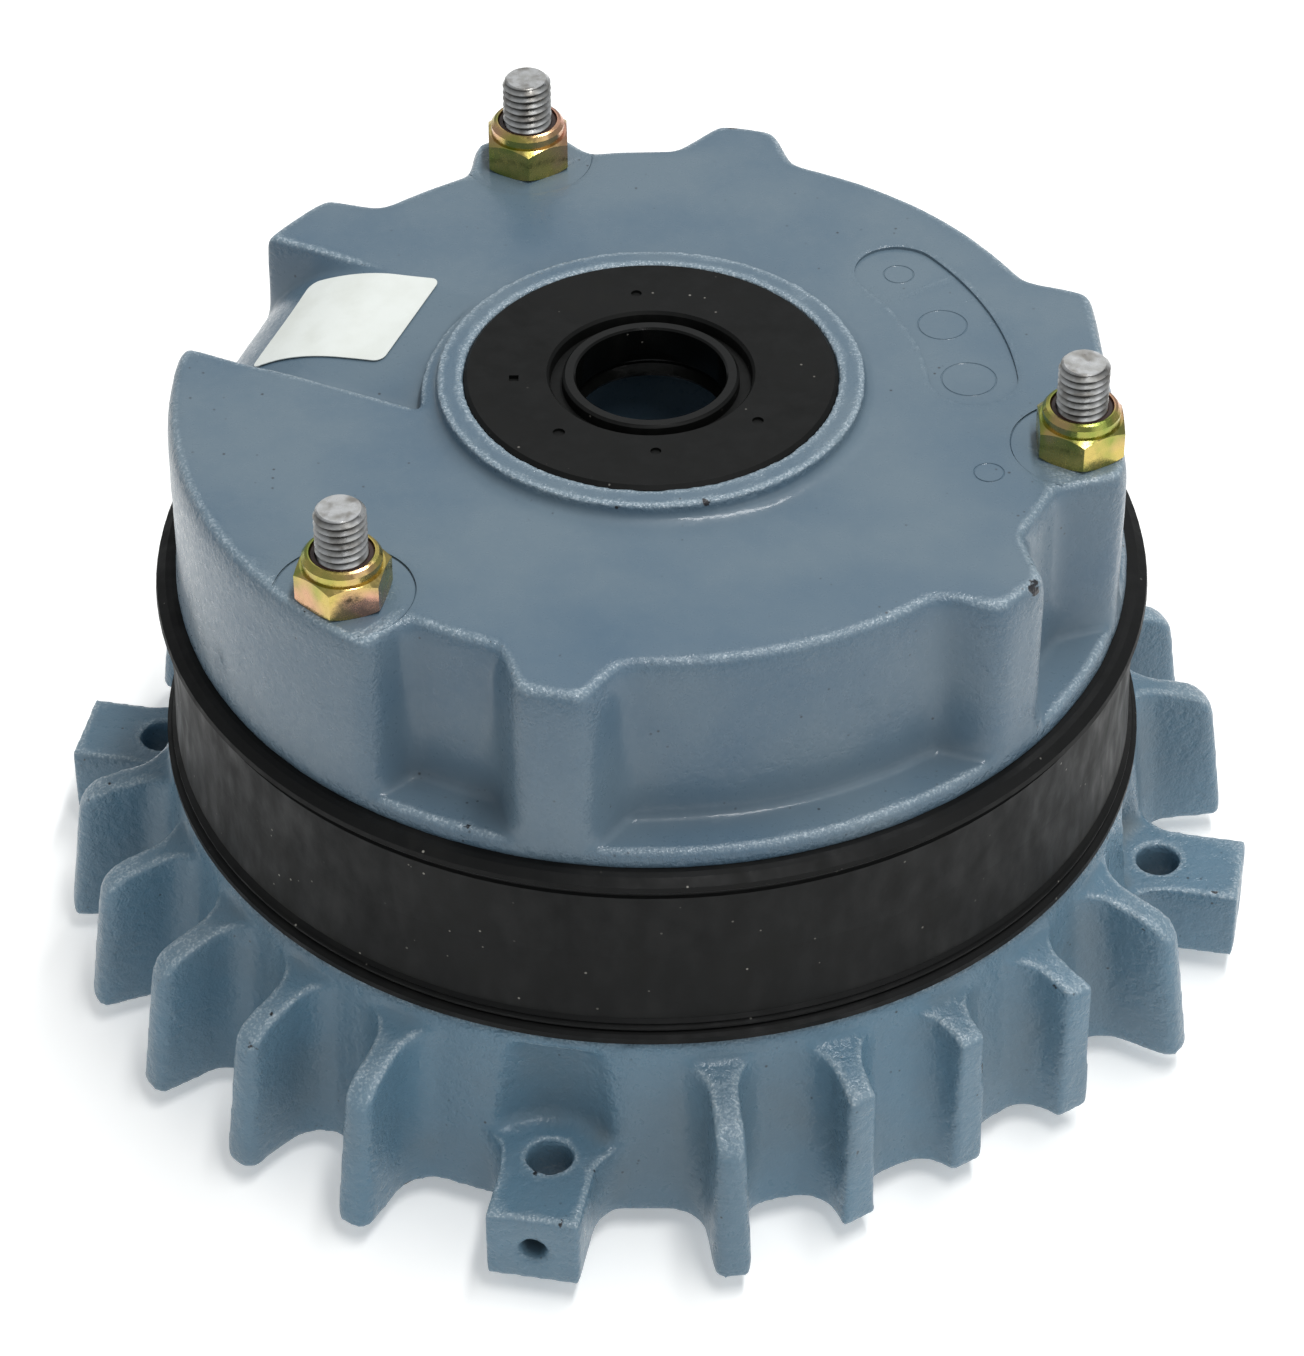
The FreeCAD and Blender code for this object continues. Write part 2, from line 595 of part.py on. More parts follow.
def nut():
    """Prevailing-torque hexagon nut with a round collar."""
    z0 = NUT_SEAT_Z
    r = NUT_AF / math.sqrt(3)
    zh = z0 + NUT_HEX_H
    zt = z0 + NUT_H
    hexa = prism([polar(r, 60 * k)[:2] for k in range(6)], z0, zh)
    limit = revolve([(0, z0), (NUT_AF / 2 + 0.1, z0), (r + 0.02, z0 + 0.55), (r + 0.02, zh - 0.75),
                     (NUT_AF / 2 - 0.1, zh), (0, zh)])
    collar = revolve([(0, zh - 1), (NUT_COLLAR_R, zh - 1), (NUT_COLLAR_R, zt - 0.8),
                      (NUT_COLLAR_R - 0.5, zt - 0.15), (NUT_COLLAR_R - 0.9, zt), (0, zt)])
    body = hexa.common(limit).fuse(collar)
    return body.cut([cyl(STUD_R, z0 - 1, z0 + NUT_H), cyl(INSERT_R, z0 + NUT_HEX_H - 0.2, z0 + NUT_H + 1)])


def insert():
    """Polyamide locking ring inside the nut's collar."""
    z0 = NUT_SEAT_Z + NUT_HEX_H - 0.2
    return revolve([(STUD_R, z0), (INSERT_R, z0), (INSERT_R, z0 + 1.9), (INSERT_R - 0.3, z0 + 2.1),
                    (STUD_R + 0.1, z0 + 2.1), (STUD_R, z0 + 2.0)])


def sealing_collar():
    """Rubber collar that closes the gap between end shield and magnet body."""
    z0 = SHOULDER_Z
    z1 = RIM_Z
    b = COLLAR_BAND_R
    lip = COLLAR_LIP_R
    return revolve([
        (SEAT_R, z0), (lip - 0.5, z0), (lip, z0 + 0.5), (lip, z0 + 1.5), (lip - 0.6, z0 + 1.9),
        (b + 0.3, z0 + 2.1), (b + 0.7, z0 + 2.6), (b + 0.7, z0 + 3.0), (b + 0.2, z0 + 3.4),
        (b + 0.6, z0 + 3.9), (b, z0 + 4.4), (b - 0.35, (z0 + z1) / 2), (b + 0.1, z1 - 4.2),
        (b - 0.3, z1 - 3.9), (b - 0.3, z1 - 3.4), (lip - 0.9, z1 - 2.7), (lip - 0.2, z1 - 1.9),
        (lip - 0.4, z1 - 1.1), (RIM_R + 1.2, z1 - 0.2), (RIM_R + 0.2, z1), (SEAT_R, z1),
    ])


def shaft_seal():
    """Rubber-covered seal ring with a raised sleeve round the shaft hole."""
    t = SEAL_TOP
    h = SEAL_HOLE_R
    b = t - SEAL_H
    return revolve([
        (h + 0.3, t - 0.2), (13.4, t - 0.2), (13.8, t - 0.6), (13.9, t - 2.2), (15.7, t - 2.2),
        (15.9, t - 0.5), (16.3, t), (SEAL_R - 0.6, t), (SEAL_R, t - 0.6), (SEAL_R, b), (15.0, b),
        (13.4, b + 1.2), (h + 0.1, b), (h - SEAL_LIP, b + 0.7), (h + 0.5, b + 2.2), (h, b + 3.4),
        (h, t - 0.5),
    ])


def paper_label():
    """Blank paper label that follows the channel's floor."""
    low = channel_floor(CHANNEL_START, 0)
    high = channel_floor(CHANNEL_START, LABEL_T)
    a, b = low[0].Vertexes[0].Point, high[0].Vertexes[0].Point
    c, d = low[1].Vertexes[1].Point, high[1].Vertexes[1].Point
    edges = low + [Part.makeLine(c, d)] + high[::-1] + [Part.makeLine(b, a)]
    skin = channel_sweep(edges, CHANNEL_BACK + CHANNEL_FRONT)
    x = LABEL_LONG / 2
    y = LABEL_WIDE / 2
    sheet = Part.makeBox(LABEL_LONG, LABEL_WIDE, 40, V(-x, -y, CROWN_Z - 30))
    sheet = rounded(sheet, [e for e in sheet.Edges if abs(e.Length - 40) < 0.01], LABEL_CORNER)
    sheet.rotate(V(0, 0, 0), Z, LABEL_TURN)
    sheet.translate(V(LABEL_D, LABEL_OFF, 0))
    return turned(skin.common(sheet), CHANNEL_AZ)


def main():
    """Build every node and write it to its own file."""
    os.makedirs("parts", exist_ok=True)
    z_disc = disc_levels()
    bobbin, winding, potting, lead, grommet = coil_parts()
    low, high = linings()
    plate_top = z_disc[3] + PLATE_T
    spring = coil_spring(SPRING_MEAN_R, SPRING_WIRE, plate_top - SPRING_SEAT, SPRING_TOP, 6)
    counter = coil_spring(COUNTER_MEAN_R, COUNTER_WIRE, FACE_Z + RING_T, COUNTER_TOP, 5)
    ring_shape = cyl(RING_R, FACE_Z, FACE_Z + RING_T).cut(cyl(STUD_R, FACE_Z - 1, FACE_Z + RING_T + 1))
    pin = cyl(PIN_R, disc_levels()[3] + 1, POLE_Z + 10)
    nuts = [at(nut(), STUD_PCD / 2, STUD_AZ + 120 * k, turn) for k, turn in ((0, 17), (1, 30), (2, 32))]
    nodes = {
        "end_shield": end_shield(),
        "wear_plate": wear_plate(),
        "driver_hub": driver_hub(),
        "disc_carrier": disc_carrier(),
        "lining_motor_side": low,
        "lining_magnet_side": high,
        "pressure_plate": pressure_plate(),
        "damping_plate": damping_plate(),
        "magnet_body": magnet_body(),
        "coil_bobbin": bobbin,
        "coil_winding": winding,
        "coil_potting": potting,
        "coil_lead": lead,
        "lead_grommet": grommet,
        "brake_springs": group([at(spring, SPRING_PCD / 2, STUD_AZ + 30 + 60 * k) for k in range(6)]),
        "guide_pins": group(third(pin, PIN_PCD / 2, STUD_AZ + 60)),
        "studs": group(third(stud(), STUD_PCD / 2, STUD_AZ)),
        "lock_nuts": group(nuts),
        "nut_inserts": group(third(insert(), STUD_PCD / 2, STUD_AZ)),
        "pressure_rings": group(third(ring_shape, STUD_PCD / 2, STUD_AZ)),
        "counter_springs": group(third(counter, STUD_PCD / 2, STUD_AZ)),
        "sealing_collar": sealing_collar(),
        "shaft_seal": shaft_seal(),
        "paper_label": paper_label(),
    }
    for name, shape in nodes.items():
        shape.exportStep("parts/" + name + ".step")
        box = shape.BoundBox
        print(name, len(shape.Solids), shape.isValid(), round(shape.Volume, 1),
              round(box.ZMin, 2), round(box.ZMax, 2))


main()
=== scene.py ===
"""Looks of the spring-applied motor brake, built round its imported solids."""

import logging
import math
from dataclasses import dataclass, field
from enum import Enum

import bmesh
import bpy
import numpy as np
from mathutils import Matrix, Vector
from mathutils.kdtree import KDTree

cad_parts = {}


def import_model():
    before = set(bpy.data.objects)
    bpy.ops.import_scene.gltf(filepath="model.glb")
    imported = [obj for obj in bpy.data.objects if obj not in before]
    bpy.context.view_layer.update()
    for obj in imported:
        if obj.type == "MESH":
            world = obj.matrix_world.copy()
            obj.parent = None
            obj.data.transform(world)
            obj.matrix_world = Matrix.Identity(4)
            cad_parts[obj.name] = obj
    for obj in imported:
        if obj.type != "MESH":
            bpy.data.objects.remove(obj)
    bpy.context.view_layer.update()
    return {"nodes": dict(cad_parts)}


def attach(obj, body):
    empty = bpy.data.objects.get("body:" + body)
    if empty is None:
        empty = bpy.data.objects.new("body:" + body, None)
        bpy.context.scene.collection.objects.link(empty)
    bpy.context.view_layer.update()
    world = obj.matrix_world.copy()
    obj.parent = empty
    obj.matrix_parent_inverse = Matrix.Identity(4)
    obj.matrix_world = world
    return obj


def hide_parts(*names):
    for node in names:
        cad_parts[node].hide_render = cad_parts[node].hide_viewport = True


LOG = logging.getLogger("motor_brake")
HOUSING = "housing"
RELIEF_USED = ("ridge", "valley", "steep")
SHARP_GAIN = 5.0
VALLEY_GAIN = 9.0
TINY = 1e-9
MERGE_M = 2e-6
CRISP_FROM_DEGREES = 40


class Surface(Enum):
    """How a metal's surface was made, which sets the marks on it."""

    TURNED = "turned"
    ROLLED = "rolled"
    GROUND = "ground"


# Helpers


def linear(code: str) -> tuple[float, float, float, float]:
    """Turn an sRGB hex colour into linear light.

    Args:
        code: The colour, such as "#6f8796".

    Returns:
        Red, green, blue and an alpha of 1.
    """
    parts = [int(code[i : i + 2], 16) / 255 for i in (1, 3, 5)]
    light = [c / 12.92 if c <= 0.04045 else ((c + 0.055) / 1.055) ** 2.4 for c in parts]
    return light[0], light[1], light[2], 1.0


def per_metre(mm: float) -> float:
    """Pattern scale on Object coordinates that gives a grain of this many millimetres."""
    return 1000.0 / mm


def add(
    tree: bpy.types.NodeTree,
    kind: str,
    links: dict | None = None,
    values: dict | None = None,
    **settings: object,
) -> bpy.types.Node:
    """Add one shader node with its settings, values and links.

    Args:
        tree: The material's node tree.
        kind: The node's type name.
        links: Input socket to the output socket that feeds it.
        values: Input socket to its constant value.
        settings: Properties of the node itself.

    Returns:
        The new node.
    """
    made = tree.nodes.new(kind)
    for key, value in settings.items():
        setattr(made, key, value)
    for key, value in (values or {}).items():
        made.inputs[key].default_value = value
    for key, source in (links or {}).items():
        tree.links.new(source, made.inputs[key])
    return made


def blank_material(
    name: str,
) -> tuple[bpy.types.Material, bpy.types.NodeTree, bpy.types.Node, bpy.types.NodeSocket]:
    """Make an empty material.

    Args:
        name: The finish's name.

    Returns:
        The material, its tree, its shader and its Object coordinates.
    """
    material = bpy.data.materials.new(name)
    material.use_nodes = True
    tree = material.node_tree
    tree.nodes.clear()
    shader = add(tree, "ShaderNodeBsdfPrincipled")
    add(tree, "ShaderNodeOutputMaterial", {"Surface": shader.outputs["BSDF"]})
    return material, tree, shader, add(tree, "ShaderNodeTexCoord").outputs["Object"]


def noise(
    tree: bpy.types.NodeTree, place: bpy.types.NodeSocket, grain_mm: float, detail: float, rough: float = 0.5,
) -> bpy.types.NodeSocket:
    """Cloudy pattern from 0 to 1.

    Args:
        tree: The material's node tree.
        place: The coordinates.
        grain_mm: How large its patches are.
        detail: How many finer layers lie over them.
        rough: How strong each finer layer is.

    Returns:
        The pattern.
    """
    values = {"Scale": per_metre(grain_mm), "Detail": detail, "Roughness": rough}
    return add(tree, "ShaderNodeTexNoise", {"Vector": place}, values).outputs["Fac"]


def ramp(
    tree: bpy.types.NodeTree, source: bpy.types.NodeSocket, low: float, high: float,
    least: float = 0.0, most: float = 1.0,
) -> bpy.types.NodeSocket:
    """Map one range onto another, held at its ends.

    Args:
        tree: The material's node tree.
        source: The pattern.
        low: Where the ramp starts.
        high: Where it ends.
        least: Its value at the start.
        most: Its value at the end.

    Returns:
        The mapped pattern.
    """
    values = {"From Min": low, "From Max": high, "To Min": least, "To Max": most}
    return add(tree, "ShaderNodeMapRange", {"Value": source}, values).outputs[0]


def product(
    tree: bpy.types.NodeTree, first: bpy.types.NodeSocket, second: bpy.types.NodeSocket,
) -> bpy.types.NodeSocket:
    """Multiply two patterns."""
    return add(tree, "ShaderNodeMath", {0: first, 1: second}, operation="MULTIPLY").outputs[0]


def scaled(
    tree: bpy.types.NodeTree, source: bpy.types.NodeSocket, gain: float, base: bpy.types.NodeSocket,
) -> bpy.types.NodeSocket:
    """Add a share of one pattern to another."""
    return add(tree, "ShaderNodeMath", {0: source, 2: base}, {1: gain}, operation="MULTIPLY_ADD").outputs[0]


def blend(
    tree: bpy.types.NodeTree, share: bpy.types.NodeSocket, under: bpy.types.NodeSocket | str, over: str,
) -> bpy.types.NodeSocket:
    """Lay one colour over another.

    Args:
        tree: The material's node tree.
        share: How much of the upper colour shows.
        under: The colour below, as a socket or an sRGB hex.
        over: The upper colour.

    Returns:
        The colour.
    """
    links, values = {0: share}, {7: linear(over)}
    if isinstance(under, str):
        values[6] = linear(under)
    else:
        links[6] = under
    return add(tree, "ShaderNodeMix", links, values, data_type="RGBA").outputs[2]


def set_grain(
    tree: bpy.types.NodeTree, shader: bpy.types.Node, source: bpy.types.NodeSocket,
    ends: tuple[float, float, float, float], strength: float, depth_mm: float,
) -> None:
    """Let one pattern drive both the roughness and the bump.

    Args:
        tree: The material's node tree.
        shader: Its shader.
        source: The pattern.
        ends: The ramp that turns the pattern into roughness.
        strength: The bump's strength.
        depth_mm: Its depth.
    """
    tree.links.new(ramp(tree, source, *ends), shader.inputs["Roughness"])
    bump = add(tree, "ShaderNodeBump", {"Height": source}, {"Strength": strength, "Distance": depth_mm / 1000})
    tree.links.new(bump.outputs[0], shader.inputs["Normal"])


def pick_only(piece: bpy.types.Object) -> None:
    """Select one object and nothing else.

    Args:
        piece: The object.
    """
    bpy.ops.object.select_all(action="DESELECT")
    piece.select_set(True)
    bpy.context.view_layer.objects.active = piece


def finish_with(piece: bpy.types.Object, kind: str, **settings: object) -> None:
    """Add a modifier and apply it.

    Args:
        piece: The object.
        kind: The modifier's type.
        settings: The modifier's properties.
    """
    modifier = piece.modifiers.new(kind.lower(), kind)
    for key, value in settings.items():
        setattr(modifier, key, value)
    pick_only(piece)
    bpy.ops.object.modifier_apply(modifier=modifier.name)


def dress(piece: bpy.types.Object, material: bpy.types.Material) -> None:
    """Give a piece one finish all over."""
    piece.data.materials.clear()
    piece.data.materials.append(material)


def copy_of(node: bpy.types.Object, name: str) -> bpy.types.Object:
    """Copy a CAD node's mesh into a new piece and merge its loose triangles.

    Args:
        node: The CAD node.
        name: The new piece's name.

    Returns:
        The new piece, at the origin.
    """
    piece = bpy.data.objects.new(name, node.data.copy())
    bpy.context.scene.collection.objects.link(piece)
    pick_only(piece)
    bpy.ops.mesh.customdata_custom_splitnormals_clear()
    bpy.ops.object.mode_set(mode="EDIT")
    bpy.ops.mesh.select_all(action="SELECT")
    bpy.ops.mesh.remove_doubles(threshold=MERGE_M)
    bpy.ops.object.mode_set(mode="OBJECT")
    return piece


def table(items: bpy.types.bpy_prop_collection, key: str, width: int, kind: type = np.float32) -> np.ndarray:
    """Read one value of every item.

    Args:
        items: The vertices, edges or attribute values.
        key: The value's name.
        width: How many numbers it holds.
        kind: The numbers' type.

    Returns:
        One row for each item.
    """
    values = np.empty(len(items) * width, kind)
    items.foreach_get(key, values)
    return values.reshape(-1, width)


def mark_relief(piece: bpy.types.Object, near: int, far: int) -> None:
    """Store the form at each vertex, for wear and dust.

    "ridge" and "hollow" say how sharply the surface bends, "valley" how hollow it is over a wider
    reach, and "steep" how far it leans from level.

    Args:
        piece: A piece with a dense, even mesh.
        near: How many rings of neighbours the sharp marks spread over.
        far: How many rings of neighbours the valleys spread over.
    """
    mesh = piece.data
    count = len(mesh.vertices)
    place = table(mesh.vertices, "co", 3)
    normal = table(mesh.vertices, "normal", 3)
    a, b = table(mesh.edges, "vertices", 2, np.int32).T
    step = place[b] - place[a]
    span = np.linalg.norm(step, axis=1) + TINY
    degree = np.bincount(a, minlength=count) + np.bincount(b, minlength=count) + TINY
    bend = np.bincount(a, (normal[a] * step).sum(1) / span, minlength=count)
    bend += np.bincount(b, -(normal[b] * step).sum(1) / span, minlength=count)
    bend /= degree
    marks = {"steep": 1.0 - np.abs(normal[:, 2])}
    for turn in range(far):
        total = np.bincount(a, bend[b], minlength=count) + np.bincount(b, bend[a], minlength=count)
        bend = 0.5 * bend + 0.5 * total / degree
        if turn + 1 == near:
            marks["ridge"] = -SHARP_GAIN * bend
            marks["hollow"] = SHARP_GAIN * bend
    marks["valley"] = VALLEY_GAIN * bend
    for name, value in marks.items():
        layer = mesh.attributes.get(name) or mesh.attributes.new(name, "FLOAT", "POINT")
        layer.data.foreach_set("value", np.clip(value, 0.0, 1.0).astype(np.float32))


def keep_relief(soft: bpy.types.Mesh, cut: bpy.types.Mesh) -> None:
    """Carry the relief marks over to a mesh that was cut since.

    Args:
        soft: The mesh before it was cut.
        cut: The mesh now.
    """
    tree = KDTree(len(soft.vertices))
    for corner in soft.vertices:
        tree.insert(corner.co, corner.index)
    tree.balance()
    nearest = np.array([tree.find(corner.co)[1] for corner in cut.vertices])
    for name in RELIEF_USED:
        value = table(soft.attributes[name].data, "value", 1)
        layer = cut.attributes.get(name) or cut.attributes.new(name, "FLOAT", "POINT")
        layer.data.foreach_set("value", value[nearest, 0])


def cut_with(piece: bpy.types.Object, tool: bpy.types.Object) -> None:
    """Cut a closed tool out of a closed piece, and remove the tool."""
    finish_with(piece, "BOOLEAN", object=tool, operation="DIFFERENCE", solver="MANIFOLD")
    bpy.data.objects.remove(tool)


def polar_point(radius_mm: float, azimuth: float, height_mm: float) -> tuple[float, float, float]:
    """Point in metres at a radius, an azimuth in degrees and a height."""
    turn = math.radians(azimuth)
    return radius_mm * math.cos(turn) / 1000, radius_mm * math.sin(turn) / 1000, height_mm / 1000


def round_tool(radius_mm: float, low_mm: float, high_mm: float, azimuth: float, out_mm: float) -> bpy.types.Object:
    """Upright cutter, as a milling cutter leaves a round seat.

    Args:
        radius_mm: The cutter's radius.
        low_mm: Height of its end.
        high_mm: Height of its top.
        azimuth: Where it stands round the axis, in degrees.
        out_mm: How far out it stands.

    Returns:
        The cutter.
    """
    bpy.ops.object.select_all(action="DESELECT")
    bpy.ops.mesh.primitive_cylinder_add(
        vertices=72, radius=radius_mm / 1000, depth=(high_mm - low_mm) / 1000,
        location=polar_point(out_mm, azimuth, (low_mm + high_mm) / 2),
    )
    return bpy.context.object


# Finishes


@dataclass(frozen=True)
class CastPaint:
    """Sprayed machine enamel on sand-cast metal.

    The sand's grain shows through the paint as a glittering bump, most of all on edges and steep
    faces. Steep faces lean to the deep colour as painted shade, upward edges carry a painted highlight
    and pale painted glints, edges chip dark, dust stays in the valleys, and pinholes stay dark.
    The real grain is finer than a pixel, so grain_mm and grit_mm are as coarse as they need to be.
    """

    name: str
    paint: str = "#647682"
    # deep is the darker end of the random tone, and also the painted shade on steep faces
    deep: str = "#4c6578"
    # painted highlight on upward-facing edges
    edge_highlight: str = "#9aabb5"
    # pale painted glints along upward-facing edges
    glint: str = "#c3d0d8"
    glint_share: float = 0.45
    dust: str = "#6b6a62"
    chip: str = "#25262a"
    grain_mm: float = 1.1
    grain_depth_mm: float = 0.36
    grit_mm: float = 0.45
    cloud_mm: float = 24.0
    spots_mm: float = 5.0
    pinhole_mm: float = 1.9
    calm: float = 0.08
    dusty: float = 0.22
    everywhere: float = 0.0
    mottle: float = 0.12
    roughness: float = 0.3

    def build(self) -> bpy.types.Material:
        """Make the material.

        Returns:
            The material.
        """
        material, tree, shader, place = blank_material(self.name)
        mark = {
            name: add(tree, "ShaderNodeAttribute", attribute_name=name).outputs["Fac"]
            for name in RELIEF_USED
        }
        cloud = noise(tree, place, self.cloud_mm, 5.0)
        grain = noise(tree, place, self.grain_mm, 3.0, 0.62)
        grit = noise(tree, place, self.grit_mm, 2.0)
        spots = noise(tree, place, self.spots_mm, 5.0)
        # Colour with dust, painted shade on steep faces and painted highlights and glints on upward edges
        dirty_and_lit = self.weathered_and_lit(tree, cloud, (grain, grit), mark)
        pinned = self.pinholes(tree, place, spots, dirty_and_lit)
        chance = product(tree, ramp(tree, mark["ridge"], 0.1, 0.2), spots)
        final = blend(tree, ramp(tree, chance, 0.685, 0.7), pinned, self.chip)
        tree.links.new(final, shader.inputs["Base Color"])
        gloss = ramp(tree, grain, 0.3, 0.7, self.roughness - 0.08, self.roughness + 0.14)
        tree.links.new(scaled(tree, mark["valley"], 0.35, gloss), shader.inputs["Roughness"])
        height = scaled(tree, grit, 0.3, grain)
        rugged = scaled(tree, mark["steep"], 0.03, mark["ridge"])
        strength = ramp(tree, rugged, 0.02, 0.16, self.calm, 1.0)
        bump = add(
            tree, "ShaderNodeBump", {"Height": height, "Strength": strength},
            {"Distance": self.grain_depth_mm / 1000},
        )
        for normal in ("Normal", "Coat Normal"):
            tree.links.new(bump.outputs[0], shader.inputs[normal])
        shader.inputs["Specular IOR Level"].default_value = 0.3
        shader.inputs["Coat Weight"].default_value = 0.25
        shader.inputs["Coat Roughness"].default_value = 0.1
        return material

    def weathered_and_lit(
        self, tree: bpy.types.NodeTree, cloud: bpy.types.NodeSocket, sand: tuple[bpy.types.NodeSocket, ...],
        mark: dict[str, bpy.types.NodeSocket],
    ) -> bpy.types.NodeSocket:
        """Paint that varies in tone, with painted shade on steep faces, a painted highlight and painted glints on
        upward ridges, and dust in valleys.

        Args:
            tree: The material's node tree.
            cloud: Slow noise, cloud_mm across.
            sand: The sand's coarse and fine grain.
            mark: The relief attributes.

        Returns:
            The colour.
        """
        # Steep faces are pushed towards the deep colour: painted shade on the side walls, over random tone from cloud
        # and sand
        mottled = scaled(tree, sand[0], self.mottle, scaled(tree, mark["steep"], 0.1, cloud))
        centred_tone_and_shade = add(tree, "ShaderNodeMath", {0: mottled}, {1: self.mottle / 2}, operation="SUBTRACT")
        base = blend(tree, ramp(tree, centred_tone_and_shade.outputs[0], 0.38, 0.82), self.paint, self.deep)
        # Painted highlight: upward-facing ridges are lightened towards the edge_highlight colour
        level = add(tree, "ShaderNodeMath", {1: mark["steep"]}, {0: 1.0}, operation="SUBTRACT")
        upper = product(tree, mark["ridge"], level.outputs[0])
        highlit = blend(tree, ramp(tree, upper, 0.08, 0.3, 0.0, 0.4), base, self.edge_highlight)
        # Pale painted glints on upward ridges, picked out by the fine grit
        glint_peaks = ramp(tree, sand[1], 0.5, 0.62, 0.0, self.glint_share)
        glints = product(tree, glint_peaks, ramp(tree, upper, 0.1, 0.28))
        glinted = blend(tree, glints, highlit, self.glint)
        caught = add(tree, "ShaderNodeMath", {0: mark["valley"]}, {1: self.everywhere}, operation="ADD")
        settled = product(tree, caught.outputs[0], ramp(tree, cloud, 0.4, 0.62))
        return blend(tree, ramp(tree, settled, 0.0, 0.6, 0.0, self.dusty), glinted, self.dust)

    def pinholes(
        self, tree: bpy.types.NodeTree, place: bpy.types.NodeSocket, spots: bpy.types.NodeSocket,
        colour: bpy.types.NodeSocket,
    ) -> bpy.types.NodeSocket:
        """Dark pinholes in loose groups, drawn a little larger than life so that they show.

        Args:
            tree: The material's node tree.
            place: Object coordinates.
            spots: Noise that gathers the pinholes.
            colour: The paint so far.

        Returns:
            The colour with its pinholes.
        """
        cells = add(tree, "ShaderNodeTexVoronoi", {"Vector": place}, {"Scale": per_metre(self.pinhole_mm)})
        near = ramp(tree, cells.outputs["Distance"], 0.07, 0.16, 0.8, 0.0)
        return blend(tree, product(tree, near, ramp(tree, spots, 0.57, 0.64)), colour, self.chip)


@dataclass(frozen=True)
class BlackRubber:
    """Carbon-black moulded rubber.

    It is matte with a faint sheen, carries light dust specks, and has pale scuffs where it was handled.
    Inside greased_to_mm of the axis it is wet with grease.
    """

    name: str
    colour: str = "#0a0b0b"
    haze: str = "#181816"
    speck: str = "#9a978f"
    roughness: float = 0.5
    scuffs: float = 0.6
    greased_to_mm: float = 0.0
    cloud_mm: float = 26.0
    smear_mm: float = 3.5
    specks_mm: float = 3.2
    skin_mm: float = 0.9
    skin_depth_mm: float = 0.03

    def build(self) -> bpy.types.Material:
        """Make the material.

        Returns:
            The material.
        """
        material, tree, shader, place = blank_material(self.name)
        cloud = noise(tree, place, self.cloud_mm, 5.0)
        stretched = add(tree, "ShaderNodeMapping", {"Vector": place}, {"Scale": (1.0, 1.0, 0.5)})
        smear = noise(tree, stretched.outputs[0], self.smear_mm, 5.0)
        hazy = ramp(tree, product(tree, cloud, smear), 0.26, 0.42, 0.0, self.scuffs)
        base = blend(tree, hazy, self.colour, self.haze)
        motes = add(tree, "ShaderNodeTexVoronoi", {"Vector": place}, {"Scale": per_metre(self.specks_mm)})
        near = ramp(tree, motes.outputs["Distance"], 0.045, 0.075, 0.8, 0.0)
        specks = product(tree, near, ramp(tree, cloud, 0.42, 0.6))
        tree.links.new(blend(tree, specks, base, self.speck), shader.inputs["Base Color"])
        rough = ramp(tree, smear, 0.3, 0.7, self.roughness - 0.06, self.roughness + 0.16)
        level = add(tree, "ShaderNodeMapping", {"Vector": place}, {"Scale": (1.0, 1.0, 0.0)})
        out = add(tree, "ShaderNodeVectorMath", {0: level.outputs[0]}, operation="LENGTH")
        edge = self.greased_to_mm / 1000
        dry = ramp(tree, out.outputs["Value"], edge - 0.0003, edge + 0.0001, 0.3)
        tree.links.new(product(tree, rough, dry), shader.inputs["Roughness"])
        shader.inputs["Specular IOR Level"].default_value = 0.18
        skin = noise(tree, place, self.skin_mm, 3.0)
        depth = {"Strength": 0.6, "Distance": self.skin_depth_mm / 1000}
        bump = add(tree, "ShaderNodeBump", {"Height": skin}, depth)
        tree.links.new(bump.outputs[0], shader.inputs["Normal"])
        return material


@dataclass(frozen=True)
class ZincPlate:
    """Zinc-plated steel, grey or with a yellow chromate film that shifts between straw, green and pink.

    The attribute "root" marks a thread's grooves, which are painted dark as painted shade.
    """

    name: str
    colour: str
    second: str
    third: str
    patch_mm: float = 3.0
    roughness: float = 0.28
    # painted shade in the thread roots
    root_shade: str = "#2b2927"
    wear_mm: float = 0.8
    wear_depth_mm: float = 0.04

    def build(self) -> bpy.types.Material:
        """Make the material.

        Returns:
            The material.
        """
        material, tree, shader, place = blank_material(self.name)
        shader.inputs["Metallic"].default_value = 1.0
        patches = noise(tree, place, self.patch_mm, 2.5)
        film = noise(tree, place, self.patch_mm * 1.7, 2.0)
        mixed = blend(tree, ramp(tree, patches, 0.42, 0.62), self.colour, self.second)
        final = blend(tree, ramp(tree, film, 0.5, 0.68), mixed, self.third)
        root = add(tree, "ShaderNodeAttribute", attribute_name="root").outputs["Fac"]
        # Painted shade: darker towards the roots of the thread
        root_shaded = blend(tree, ramp(tree, root, 0.25, 1.0, 0.0, 0.85), final, self.root_shade)
        tree.links.new(root_shaded, shader.inputs["Base Color"])
        ends = (0.3, 0.7, self.roughness - 0.06, self.roughness + 0.16)
        set_grain(tree, shader, noise(tree, place, self.wear_mm, 3.0), ends, 0.5, self.wear_depth_mm)
        return material


